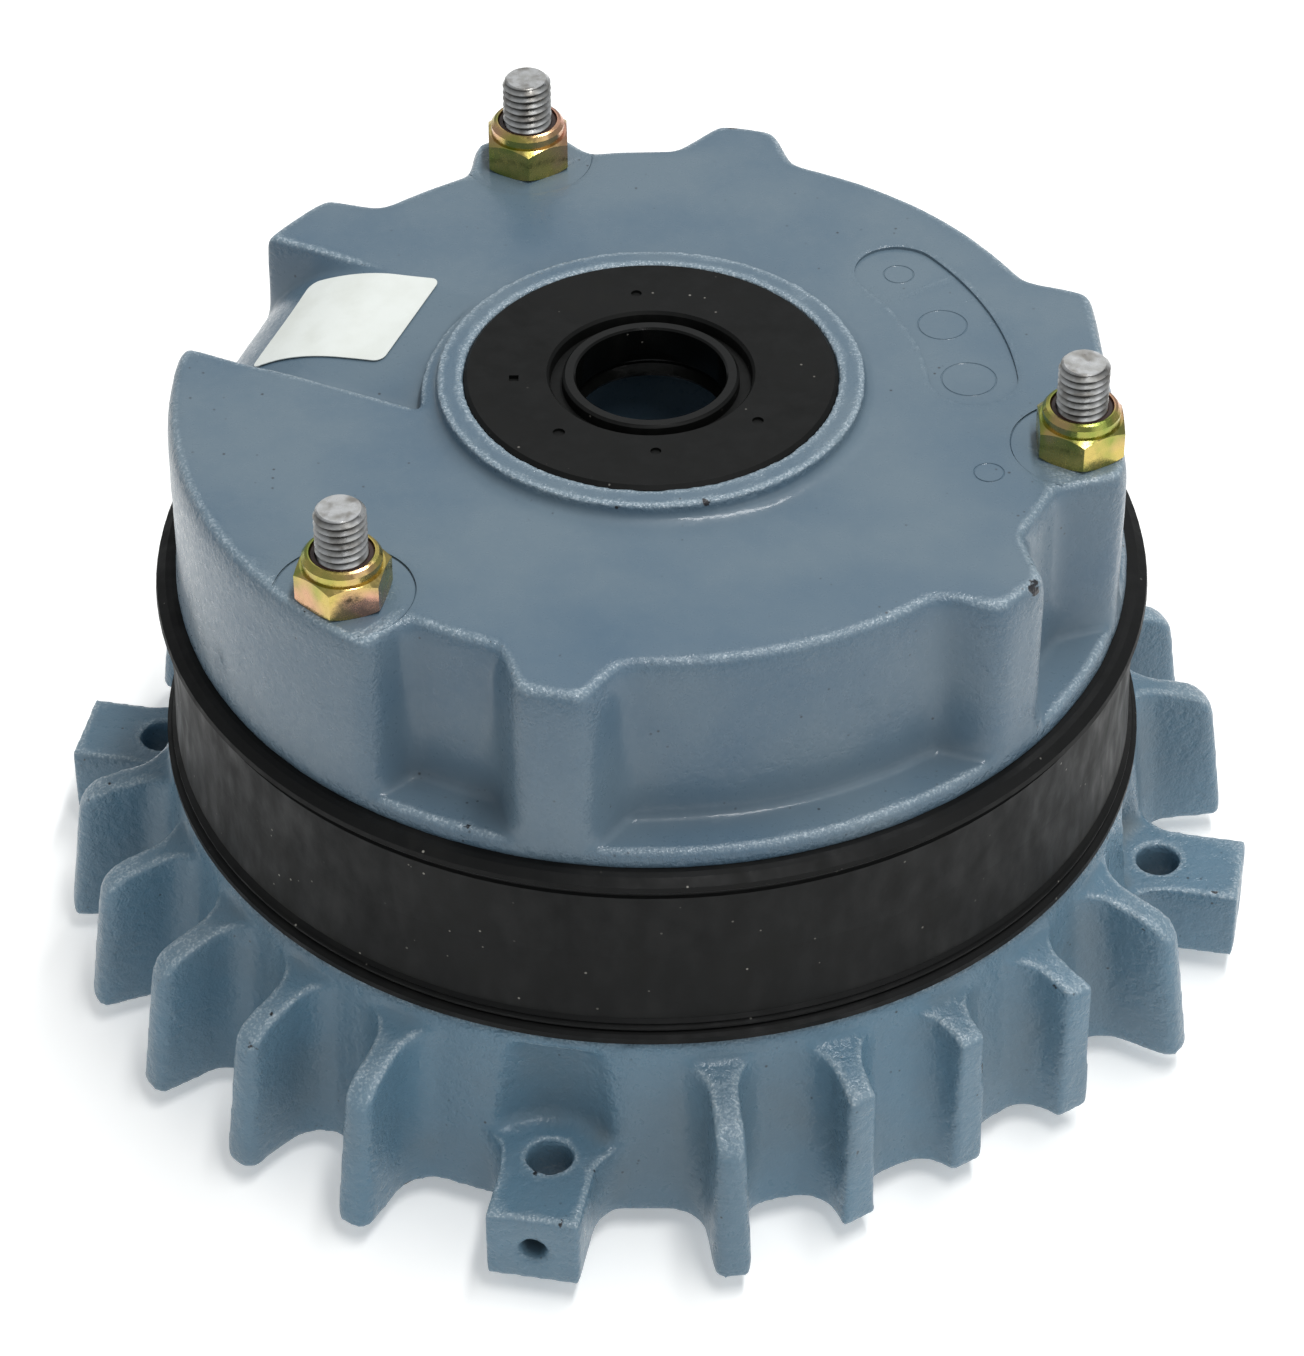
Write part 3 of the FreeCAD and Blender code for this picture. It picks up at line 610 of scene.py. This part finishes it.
@dataclass(frozen=True)
class BareMetal:
    """Machined or rolled metal with the fine marks of the way it was made.

    Turning leaves rings, rolling leaves long lines and grinding leaves an even grit. All three are
    drawn coarser than life so that they show.
    """

    name: str
    colour: str
    stain: str
    surface: Surface = Surface.TURNED
    roughness: float = 0.3
    rings_mm: float = 6.0
    lines_mm: float = 0.6
    grit_mm: float = 0.5
    blotch_mm: float = 9.0
    mark_depth_mm: float = 0.03

    def build(self) -> bpy.types.Material:
        """Make the material.

        Returns:
            The material.
        """
        material, tree, shader, place = blank_material(self.name)
        shader.inputs["Metallic"].default_value = 1.0
        if self.surface is Surface.TURNED:
            marks = add(
                tree, "ShaderNodeTexWave", {"Vector": place},
                {"Scale": per_metre(self.rings_mm), "Distortion": 0.4, "Detail": 1.0},
                wave_type="RINGS", rings_direction="Z",
            ).outputs["Fac"]
        elif self.surface is Surface.ROLLED:
            lines = add(tree, "ShaderNodeMapping", {"Vector": place}, {"Scale": (1.0, 0.04, 1.0)})
            marks = noise(tree, lines.outputs[0], self.lines_mm, 2.0)
        else:
            marks = noise(tree, place, self.grit_mm, 4.0)
        amount = ramp(tree, noise(tree, place, self.blotch_mm, 4.0), 0.45, 0.7, 0.0, 0.7)
        tree.links.new(blend(tree, amount, self.colour, self.stain), shader.inputs["Base Color"])
        ends = (0.0, 1.0, self.roughness - 0.05, self.roughness + 0.12)
        set_grain(tree, shader, marks, ends, 0.4, self.mark_depth_mm)
        return material


@dataclass(frozen=True)
class DullSolid:
    """Moulded plastic, pressed compound, resin or paper: a dielectric with a mottled, fine-grained face."""

    name: str
    colour: str
    mottle: str
    roughness: float
    grain_mm: float
    grain_depth_mm: float
    patch_mm: float = 8.0
    amount: float = 0.6

    def build(self) -> bpy.types.Material:
        """Make the material.

        Returns:
            The material.
        """
        material, tree, shader, place = blank_material(self.name)
        share = ramp(tree, noise(tree, place, self.patch_mm, 5.0), 0.4, 0.7, 0.0, self.amount)
        tree.links.new(blend(tree, share, self.colour, self.mottle), shader.inputs["Base Color"])
        ends = (0.3, 0.7, self.roughness - 0.05, self.roughness + 0.08)
        set_grain(tree, shader, noise(tree, place, self.grain_mm, 3.0), ends, 0.7, self.grain_depth_mm)
        return material


# Sub-assemblies


@dataclass
class SoftCasting:
    """A painted casting: the CAD form with its edges softened and its faces gently uneven."""

    node: str
    name: str
    finish: CastPaint
    voxel_mm: float = 0.55
    rounds: int = 8
    corner_bend: float = 0.16
    corner_reach_mm: float = 6.5
    corner_rounds: int = 130
    corner_from_mm: float = 60.0
    upright_from: float = 0.75
    most_points: int = 3000
    shares: int = 10
    full_share: int = 6
    near_rings: int = 3
    far_rings: int = 14
    waves_mm: float = 0.16
    wave_size_mm: float = 7.0
    most_triangles: int = 185000
    clear_mm: float = 0.0

    def build(self, nodes: dict[str, bpy.types.Object]) -> bpy.types.Object:
        """Model the casting over its CAD node.

        Args:
            nodes: The CAD nodes by name.

        Returns:
            The new piece.
        """
        piece = copy_of(nodes[self.node], self.name)
        self.thicken(piece)
        finish_with(piece, "REMESH", mode="VOXEL", voxel_size=self.voxel_mm / 1000, use_smooth_shade=True)
        finish_with(piece, "SMOOTH", factor=0.5, iterations=self.rounds)
        self.round_corners(piece)
        self.make_uneven(piece)
        self.keep_inside(piece, nodes[self.node])
        triangles = 2 * len(piece.data.polygons)
        if triangles > self.most_triangles:
            finish_with(piece, "DECIMATE", ratio=self.most_triangles / triangles)
        mark_relief(piece, self.near_rings, self.far_rings)
        soft = piece.data.copy()
        self.machine(piece)
        keep_relief(soft, piece.data)
        bpy.data.meshes.remove(soft)
        pick_only(piece)
        bpy.ops.object.shade_smooth_by_angle(angle=math.radians(CRISP_FROM_DEGREES))
        dress(piece, self.finish.build())
        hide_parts(self.node)
        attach(piece, HOUSING)
        return piece

    def round_corners(self, piece: bpy.types.Object) -> None:
        """Round the upright corners, which a sand mould leaves rounder than the other edges.

        Args:
            piece: The remeshed casting.
        """
        mark_relief(piece, self.near_rings, self.near_rings + 1)
        mesh = piece.data
        place = table(mesh.vertices, "co", 3)
        ridge, hollow, steep = (
            table(mesh.attributes[name].data, "value", 1)[:, 0] for name in ("ridge", "hollow", "steep")
        )
        out = np.linalg.norm(place[:, :2], axis=1)
        sharp = np.maximum(ridge, hollow) > self.corner_bend
        lines = place[sharp & (steep > self.upright_from) & (out > self.corner_from_mm / 1000)]
        lines = lines[:: max(1, len(lines) // self.most_points)]
        tree = KDTree(len(lines))
        for k, (x, y, _) in enumerate(lines):
            tree.insert((x, y, 0), k)
        tree.balance()
        group = piece.vertex_groups.new(name="corner")
        reach = self.corner_reach_mm / 1000
        shares = {}
        for k in np.nonzero(out > self.corner_from_mm / 1000 - reach)[0]:
            gap = tree.find((place[k, 0], place[k, 1], 0))[2]
            if gap is not None and gap < reach:
                shares.setdefault(round(self.shares - self.shares * gap / reach), []).append(int(k))
        for share, corners in shares.items():
            group.add(corners, min(1.0, share / self.full_share), "REPLACE")
        finish_with(piece, "SMOOTH", factor=0.5, iterations=self.corner_rounds, vertex_group="corner", use_z=False)
        piece.vertex_groups.clear()
        LOG.info("rounded %s round %d corner points", piece.name, len(lines))

    def keep_inside(self, piece: bpy.types.Object, node: bpy.types.Object) -> None:
        """Press the casting back into its CAD node's box, clear_mm above the box's foot.

        Args:
            piece: The softened casting.
            node: The CAD node.
        """
        corners = table(node.data.vertices, "co", 3)
        low = corners.min(0) + np.array([0.0, 0.0, self.clear_mm / 1000])
        kept = np.clip(table(piece.data.vertices, "co", 3), low, corners.max(0))
        piece.data.vertices.foreach_set("co", kept.ravel())
        piece.data.update()

    def thicken(self, piece: bpy.types.Object) -> None:
        """Add material before the remesh joins it. The plain casting needs none."""
        LOG.info("copied %s", piece.name)

    def machine(self, piece: bpy.types.Object) -> None:
        """Cut what is crisp on the real casting. The plain casting has nothing to cut."""
        LOG.info("softened %s", piece.name)

    def make_uneven(self, piece: bpy.types.Object) -> None:
        """Push the faces in and out a little, as a sand mould does.

        Args:
            piece: The softened casting.
        """
        texture = bpy.data.textures.new(self.name + "_sand", "CLOUDS")
        texture.noise_scale = self.wave_size_mm / 1000
        texture.noise_depth = 2
        finish_with(
            piece, "DISPLACE", texture=texture, texture_coords="GLOBAL", strength=self.waves_mm / 1000, mid_level=0.5,
        )
        bpy.data.textures.remove(texture)


@dataclass
class MagnetCasting(SoftCasting):
    """The magnet body, with the round seats of the nuts, the sunk panel and its three ring stamps."""

    top_mm: float = 98.5
    seat_radius_mm: float = 10.75
    seat_depth_mm: float = 0.32
    seat_line_mm: float = 0.22
    stud_circle_mm: float = 135.0
    stud_azimuth: float = 227.5
    panel_mm: tuple[float, float] = (43.6, 57.6)
    panel_azimuths: tuple[float, float] = (3.0, 38.0)
    panel_depth_mm: float = 0.62
    stamps: tuple = ((50.7, 37.9, 2.4), (49.5, 20.4, 3.9), (49.9, 3.2, 4.3))
    top_stamp: tuple = (56.0, 337.0, 2.3)
    stamp_line_mm: float = 0.16
    boss_mm: tuple[float, float, float] = (29.7, 33.5, 101.3)

    def thicken(self, piece: bpy.types.Object) -> None:
        """Widen the flat ring round the seal.

        Args:
            piece: The copy of the CAD node.
        """
        inner, outer, high = self.boss_mm
        ring = round_tool(outer, self.top_mm - 2, high, 0, 0)
        cut_with(ring, round_tool(inner, self.top_mm - 3, high + 1, 0, 0))
        bpy.ops.object.select_all(action="DESELECT")
        ring.select_set(True)
        piece.select_set(True)
        bpy.context.view_layer.objects.active = piece
        bpy.ops.object.join()

    def machine(self, piece: bpy.types.Object) -> None:
        """Cut the seats, the panel and the stamps.

        Args:
            piece: The softened casting.
        """
        over = self.top_mm + 4
        for k in range(3):
            azimuth = self.stud_azimuth + 120 * k
            low = self.top_mm - self.seat_depth_mm
            cut_with(piece, round_tool(self.seat_radius_mm, low, over, azimuth, self.stud_circle_mm / 2))
            self.groove(piece, (self.stud_circle_mm / 2, azimuth, self.seat_radius_mm), low, self.seat_line_mm)
        cut_with(piece, self.panel_tool(over))
        inner, outer = self.panel_mm
        floor = self.top_mm - self.panel_depth_mm
        for azimuth in self.panel_azimuths:
            cut_with(piece, round_tool((outer - inner) / 2, floor, over, azimuth, (inner + outer) / 2))
        rings = [(*stamp, floor) for stamp in self.stamps] + [(*self.top_stamp, self.top_mm)]
        for out, azimuth, radius, height in rings:
            self.groove(piece, (out, azimuth, radius), height, self.stamp_line_mm)

    def groove(self, piece: bpy.types.Object, ring: tuple[float, float, float], height: float, line: float) -> None:
        """Cut a fine round groove.

        Args:
            piece: The casting.
            ring: How far out its centre is, at which azimuth, and its radius.
            height: Height of the face it is cut in.
            line: Radius of its section.
        """
        out, azimuth, radius = ring
        bpy.ops.object.select_all(action="DESELECT")
        bpy.ops.mesh.primitive_torus_add(
            major_segments=60, minor_segments=8, major_radius=radius / 1000, minor_radius=line / 1000,
            location=polar_point(out, azimuth, height),
        )
        cut_with(piece, bpy.context.object)

    def panel_tool(self, over: float) -> bpy.types.Object:
        """Cutter of the panel between its two round ends.

        Args:
            over: Height of the cutter's top.

        Returns:
            The cutter.
        """
        inner, outer = self.panel_mm
        low = self.top_mm - self.panel_depth_mm
        start, end = self.panel_azimuths
        bpy.ops.object.select_all(action="DESELECT")
        bpy.ops.mesh.primitive_plane_add(size=0.001)
        tool = bpy.context.object
        corners = [(inner, low), (outer, low), (outer, over), (inner, over)]
        for corner, (out, height) in zip((0, 1, 3, 2), corners):
            tool.data.vertices[corner].co = polar_point(out, start, height)
        bpy.ops.object.mode_set(mode="EDIT")
        bpy.ops.mesh.select_all(action="SELECT")
        bpy.ops.mesh.spin(steps=24, angle=math.radians(start - end), center=(0, 0, 0), axis=(0, 0, 1))
        bpy.ops.mesh.select_all(action="SELECT")
        bpy.ops.mesh.normals_make_consistent(inside=False)
        bpy.ops.object.mode_set(mode="OBJECT")
        return tool


@dataclass
class ThreadedStuds:
    """The three studs with real helical threads above the nuts."""

    radius_mm: float = 4.0
    depth_mm: float = 0.66
    pitch_mm: float = 1.25
    circle_mm: float = 135.0
    first_azimuth: float = 227.5
    foot_mm: float = 14.0
    thread_from_mm: float = 104.0
    top_mm: float = 114.0
    chamfer_mm: float = 0.95
    steps: int = 40
    profile: tuple = ((1.0, 0.0), (0.1, 0.42), (0.0, 0.5), (0.1, 0.58), (1.0, 1.0))
    run_in: int = 3
    run_out: int = 4
    starts: tuple[float, float] = (3.0, 0.7)
    crisp_from: float = 28.0
    clear_mm: float = 0.02
    end_skin_mm: float = 0.1
    blank_over_mm: float = 0.2

    def one(self) -> bpy.types.Object:
        """Model one stud on the axis, from its thread outwards.

        Returns:
            The stud.
        """
        r = self.radius_mm / 1000
        d = self.depth_mm / 1000
        p = self.pitch_mm / 1000
        low = self.thread_from_mm / 1000
        top = self.top_mm / 1000
        bpy.ops.object.select_all(action="DESELECT")
        bpy.ops.mesh.primitive_circle_add(vertices=5, radius=r)
        piece = bpy.context.object
        piece.name = "studs_threaded"
        form = bmesh.new()
        foot = low - self.run_in * p
        corners = [form.verts.new((r - deep * d, 0, foot + along * p)) for deep, along in self.profile]
        for a, b in zip(corners, corners[1:]):
            form.edges.new((a, b))
        form.to_mesh(piece.data)
        form.free()
        turns = int((top - low) / p) + self.run_in + self.run_out
        finish_with(
            piece, "SCREW", axis="Z", angle=2 * math.pi, screw_offset=p, iterations=turns,
            steps=self.steps, render_steps=self.steps, use_merge_vertices=True, merge_threshold=1e-6,
        )
        bpy.ops.object.mode_set(mode="EDIT")
        bpy.ops.mesh.select_all(action="SELECT")
        bpy.ops.mesh.remove_doubles(threshold=MERGE_M)
        bpy.ops.mesh.fill_holes(sides=0)
        bpy.ops.mesh.select_all(action="SELECT")
        bpy.ops.mesh.quads_convert_to_tris()
        bpy.ops.mesh.normals_make_consistent(inside=False)
        bpy.ops.object.mode_set(mode="OBJECT")
        rod = self.blank()
        finish_with(piece, "BOOLEAN", object=rod, operation="INTERSECT", solver="MANIFOLD")
        bpy.data.objects.remove(rod)
        shank = round_tool(self.radius_mm - self.clear_mm, self.foot_mm, self.thread_from_mm, 0, 0)
        finish_with(piece, "BOOLEAN", object=shank, operation="UNION", solver="MANIFOLD")
        bpy.data.objects.remove(shank)
        # root grows towards the bottom of the thread's grooves, where the plating paints shade
        root = piece.data.attributes.new("root", "FLOAT", "POINT")
        for corner in piece.data.vertices:
            side = corner.co.z < top - self.end_skin_mm / 1000
            sunk = (r - corner.co.xy.length) / d
            root.data[corner.index].value = min(max(sunk, 0.0), 1.0) if side else 0.0
        return piece

    def blank(self) -> bpy.types.Object:
        """Model the rod that the thread is cut on, with its chamfered end.

        Returns:
            The rod, named stud_blank.
        """
        low = self.thread_from_mm / 1000 - 0.001
        top = self.top_mm / 1000
        radius = (self.radius_mm + self.blank_over_mm) / 1000
        bpy.ops.object.select_all(action="DESELECT")
        bpy.ops.mesh.primitive_cylinder_add(
            vertices=64, radius=radius, depth=top - low, location=(0, 0, (top + low) / 2),
        )
        rod = bpy.context.object
        rod.name = "stud_blank"
        bpy.ops.object.mode_set(mode="EDIT")
        bpy.ops.mesh.select_all(action="SELECT")
        cut = self.chamfer_mm / 1000
        bpy.ops.mesh.bisect(plane_co=(0, 0, top - cut), plane_no=(0, 0, 1))
        bpy.ops.object.mode_set(mode="OBJECT")
        for corner in rod.data.vertices:
            if corner.co.z > (top - low) / 2 - MERGE_M:
                corner.co.xy *= 1 - cut / radius
        return rod

    def build(self, finish: ZincPlate) -> bpy.types.Object:
        """Model the three studs as one piece.

        Args:
            finish: The plating.

        Returns:
            The piece that stands for the studs.
        """
        first = self.one()
        studs = [first.copy(), first.copy(), first]
        for stud in studs[:2]:
            stud.data = first.data.copy()
            bpy.context.scene.collection.objects.link(stud)
        turns, start = self.starts
        for k, stud in enumerate(studs):
            azimuth = self.first_azimuth + 120 * k
            stud.rotation_euler = (0, 0, turns * math.radians(azimuth) + start)
            stud.location = polar_point(self.circle_mm / 2, azimuth, 0)
        bpy.ops.object.select_all(action="DESELECT")
        for stud in studs:
            stud.select_set(True)
        bpy.context.view_layer.objects.active = first
        bpy.ops.object.join()
        bpy.ops.object.transform_apply(location=True, rotation=True, scale=True)
        bpy.ops.object.shade_smooth_by_angle(angle=math.radians(self.crisp_from))
        dress(first, finish.build())
        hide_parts("studs")
        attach(first, HOUSING)
        return first


@dataclass
class PaperLabel:
    """The blank paper label, a sheet that follows the channel's bent floor and lifts at one corner."""

    long_mm: float = 21.8
    wide_mm: float = 19.6
    corner_mm: float = 1.5
    thickness_mm: float = 0.14
    channel_azimuth: float = 155.3
    floor_mm: float = 98.5
    bend_from_mm: float = 50.0
    bend_radius_mm: float = 26.6
    tilt: float = 0.15
    back_mm: float = 11.0
    out_mm: float = 53.6
    across_mm: float = 0.3
    turn: float = 12.0
    slant: float = 0.24
    lift_mm: float = 0.22
    curl_from: float = 0.4
    curl_mm: float = 1.1
    ripple_mm: float = 0.05
    strips: int = 20

    def floor_height(self, out: float, across: float) -> float:
        """Height of the channel's floor.

        Args:
            out: Millimetres from the axis along the channel.
            across: Millimetres across it, towards the front.

        Returns:
            The height in millimetres.
        """
        past = max(0.0, out - self.bend_from_mm)
        drop = self.bend_radius_mm - math.sqrt(self.bend_radius_mm**2 - past**2)
        return self.floor_mm - drop - self.tilt * (across + self.back_mm)

    def build(self, finish: DullSolid) -> bpy.types.Object:
        """Model the label on the channel's floor.

        Args:
            finish: The paper.

        Returns:
            The label.
        """
        bpy.ops.object.select_all(action="DESELECT")
        bpy.ops.mesh.primitive_plane_add(size=0.001)
        piece = bpy.context.object
        piece.name = "paper_label_sheet"
        bpy.ops.object.mode_set(mode="EDIT")
        bpy.ops.mesh.select_all(action="SELECT")
        bpy.ops.transform.resize(value=(self.long_mm, self.wide_mm, 1))
        bpy.ops.mesh.bevel(offset=self.corner_mm / 1000, segments=6, affect="VERTICES")
        for k in range(1, self.strips):
            share = k / self.strips - 0.5
            for line, span in (((1, 0, 0), self.long_mm), ((0, 1, 0), self.wide_mm)):
                bpy.ops.mesh.select_all(action="SELECT")
                bpy.ops.mesh.bisect(plane_co=tuple(share * span / 1000 * c for c in line), plane_no=line)
        bpy.ops.object.mode_set(mode="OBJECT")
        for corner in piece.data.vertices:
            corner.co = self.laid(corner.co.x * 1000, corner.co.y * 1000)
        finish_with(piece, "SOLIDIFY", thickness=self.thickness_mm / 1000, offset=1.0)
        pick_only(piece)
        bpy.ops.object.shade_smooth_by_angle(angle=math.radians(CRISP_FROM_DEGREES))
        dress(piece, finish.build())
        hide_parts("paper_label")
        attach(piece, HOUSING)
        return piece

    def laid(self, x: float, y: float) -> Vector:
        """Where a point of the flat sheet lies on the casting.

        Args:
            x: Millimetres along the sheet.
            y: Millimetres across it.

        Returns:
            The place in metres.
        """
        share_x = 2 * x / self.long_mm
        share_y = 2 * y / self.wide_mm
        curl = max(0.0, (share_x - share_y) / 2 - self.curl_from)
        ripple = math.sin(5 * share_x + 2) * math.sin(4 * share_y)
        lift = self.lift_mm + self.curl_mm * curl * curl + self.ripple_mm * ripple
        turn = math.radians(self.turn)
        x += self.slant * y
        out = self.out_mm + x * math.cos(turn) - y * math.sin(turn)
        across = self.across_mm + x * math.sin(turn) + y * math.cos(turn)
        height = self.floor_height(out, across) + lift
        round_axis = math.radians(self.channel_azimuth)
        return Vector((
            (out * math.cos(round_axis) - across * math.sin(round_axis)) / 1000,
            (out * math.sin(round_axis) + across * math.cos(round_axis)) / 1000,
            height / 1000,
        ))


@dataclass
class MouldedSeal:
    """The shaft seal's rubber face, with its moulding dimples and one small notch."""

    top_mm: float = 101.6
    depth_mm: float = 0.45
    dimples: tuple = ((20.9, 227.4, 0.95), (20.2, 272.0, 0.85), (20.7, 322.5, 0.9), (21.1, 96.2, 0.85))
    notch: tuple = (21.4, 184.0, 1.5)
    notch_deeper: float = 1.4
    crisp_from: float = 30.0

    def build(self, nodes: dict[str, bpy.types.Object], finish: BlackRubber) -> bpy.types.Object:
        """Model the seal over its CAD node.

        Args:
            nodes: The CAD nodes by name.
            finish: The rubber.

        Returns:
            The seal.
        """
        piece = copy_of(nodes["shaft_seal"], "shaft_seal_moulded")
        for out, azimuth, radius in self.dimples:
            cut_with(piece, round_tool(radius, self.top_mm - self.depth_mm, self.top_mm + 2, azimuth, out))
        out, azimuth, side = self.notch
        bpy.ops.object.select_all(action="DESELECT")
        bpy.ops.mesh.primitive_cube_add(
            size=side / 1000,
            location=polar_point(out, azimuth, self.top_mm - self.notch_deeper * self.depth_mm + side / 2),
        )
        cut_with(piece, bpy.context.object)
        pick_only(piece)
        bpy.ops.object.shade_smooth_by_angle(angle=math.radians(self.crisp_from))
        dress(piece, finish.build())
        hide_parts("shaft_seal")
        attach(piece, HOUSING)
        return piece


@dataclass
class Studio:
    """Pale floor, soft lights and the camera at the photograph's angle."""

    floor_mm: float = -4.05
    floor_glow: float = 0.3
    world_strength: float = 0.44
    camera: tuple[float, float, float] = (0.0, -0.5937, 0.5419)
    pitch: float = 40.26
    roll: float = -0.2
    lens: float = 125.7
    softboxes: list = field(
        default_factory=lambda: [
            ("ceiling_tube", (0.3, -0.02, 1.4), (1.5, 0.12), 15.5),
            ("back_high", (0.0, 1.3, 1.15), (1.4, 0.7), 1.4),
            ("front_right", (1.2, -0.9, 0.7), (1.0, 1.0), 2.6),
        ]
    )

    def build(self) -> None:
        """Set up the floor, the lights and the camera."""
        bpy.ops.object.select_all(action="DESELECT")
        bpy.ops.mesh.primitive_plane_add(size=6, location=(0, 0, self.floor_mm / 1000))
        floor = bpy.context.object
        floor.name = "floor"
        board = DullSolid("matte_white_board", "#fafaf8", "#f4f4f2", 0.8, 2.0, 0.01, 60.0).build()
        shader = next(node for node in board.node_tree.nodes if node.type == "BSDF_PRINCIPLED")
        shader.inputs["Emission Color"].default_value = linear("#ffffff")
        shader.inputs["Emission Strength"].default_value = self.floor_glow
        dress(floor, board)
        for name, place, size, power in self.softboxes:
            light = bpy.data.lights.new(name, "AREA")
            light.energy = power
            light.shape = "RECTANGLE"
            light.size, light.size_y = size
            box = bpy.data.objects.new(name, light)
            box.location = place
            box.rotation_euler = (Vector((0, 0, 0.05)) - Vector(place)).to_track_quat("-Z", "Y").to_euler()
            bpy.context.scene.collection.objects.link(box)
        world = bpy.data.worlds.new("studio")
        world.use_nodes = True
        world.node_tree.nodes["Background"].inputs["Color"].default_value = linear("#f2f5f8")
        world.node_tree.nodes["Background"].inputs["Strength"].default_value = self.world_strength
        bpy.context.scene.world = world
        lens = bpy.data.cameras.new("camera")
        lens.lens = self.lens
        lens.sensor_width = 36
        lens.clip_end = 20
        camera = bpy.data.objects.new("camera", lens)
        camera.location = self.camera
        camera.rotation_mode = "ZXY"
        camera.rotation_euler = (math.radians(90 - self.pitch), 0, 0)
        camera.rotation_mode = "XYZ"
        camera.rotation_euler.rotate_axis("Z", math.radians(self.roll))
        bpy.context.scene.collection.objects.link(camera)
        bpy.context.scene.camera = camera
        bpy.context.scene.view_settings.view_transform = "Standard"


@dataclass
class InnerParts:
    """Finishes of the CAD nodes that keep their shape."""

    nodes: dict[str, bpy.types.Object]

    def dress_all(self) -> None:
        """Give each kept CAD node its finish."""
        rubber = BlackRubber("moulded_black_rubber")
        steel = BareMetal("machined_steel", "#8d8f92", "#5d5a56")
        stainless = BareMetal("rolled_stainless", "#b9babb", "#8f8f8c", Surface.ROLLED)
        spring = BareMetal("oiled_spring_steel", "#5c5d60", "#3a3836", Surface.GROUND)
        disc = BareMetal("turned_aluminium", "#c3c4c6", "#9b9a97")
        lining = DullSolid("pressed_friction_compound", "#3c352f", "#57504a", 0.75, 0.8, 0.1, 2.5)
        bobbin = DullSolid("moulded_polyester", "#d7d1bd", "#c4bca4", 0.5, 1.0, 0.03)
        resin = DullSolid("cast_potting_resin", "#1d1e20", "#2a2a2a", 0.35, 3.0, 0.05)
        sheath = DullSolid("extruded_cable_sheath", "#17181a", "#26261f", 0.5, 1.2, 0.04)
        polyamide = DullSolid("dark_polyamide", "#2a1712", "#3a241c", 0.45, 0.8, 0.04)
        yellow = ZincPlate("yellow_chromated_zinc", "#c9b468", "#8f9a4c", "#d3a088", 6.0, 0.18)
        wire = BareMetal("enamelled_copper_wire", "#8a4a22", "#5e3016", Surface.TURNED, 0.32)
        choice = {
            "wear_plate": stainless, "driver_hub": steel, "disc_carrier": disc, "lining_motor_side": lining,
            "lining_magnet_side": lining, "pressure_plate": steel, "damping_plate": stainless,
            "coil_bobbin": bobbin, "coil_winding": wire, "coil_potting": resin, "coil_lead": sheath,
            "lead_grommet": rubber, "brake_springs": spring, "guide_pins": steel, "lock_nuts": yellow,
            "nut_inserts": polyamide, "pressure_rings": steel, "counter_springs": spring,
            "sealing_collar": rubber,
        }
        made = {}
        for name, finish in choice.items():
            if finish.name not in made:
                made[finish.name] = finish.build()
            dress(self.nodes[name], made[finish.name])
            LOG.info("dressed %s in %s", name, finish.name)


def main(cad: dict) -> None:
    """Build every piece in order.
    """
    nodes = cad["nodes"]
    InnerParts(nodes).dress_all()
    bell = SoftCasting(
        "end_shield", "end_shield_cast",
        CastPaint(
            # deep is the random darker tone and the painted shade on steep faces
            "enamel_on_coarse_casting", paint="#5b7a8d", deep="#5a778a", grain_mm=1.7, grain_depth_mm=0.5,
            calm=0.5, dusty=0.5, everywhere=0.15, mottle=0.7,
        ),
        rounds=10, corner_reach_mm=2.6, corner_rounds=22,
    )
    magnet = MagnetCasting(
        "magnet_body", "magnet_body_cast", CastPaint("enamel_on_fine_casting"), clear_mm=0.05,
    )
    zinc = ZincPlate("grey_zinc_plate", "#cfd0d0", "#b9b9b6", "#97948f", 1.6, 0.3)
    paper = DullSolid("uncoated_label_paper", "#e3e7e2", "#cfd2c9", 0.7, 0.5, 0.02, 5.0, 0.4)
    rubber = BlackRubber(
        "nitrile_seal_rubber", colour="#0b0c0b", haze="#1c1c1a", roughness=0.5, scuffs=0.5, greased_to_mm=13.6,
    )
    pieces = [bell.build(nodes), magnet.build(nodes), ThreadedStuds().build(zinc), PaperLabel().build(paper)]
    pieces.append(MouldedSeal().build(nodes, rubber))
    for piece in pieces:
        LOG.info("built %s with %d faces", piece.name, len(piece.data.polygons))
    Studio().build()


if __name__ == "__main__":
    logging.basicConfig(level=logging.INFO)
    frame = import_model()
    main(frame)
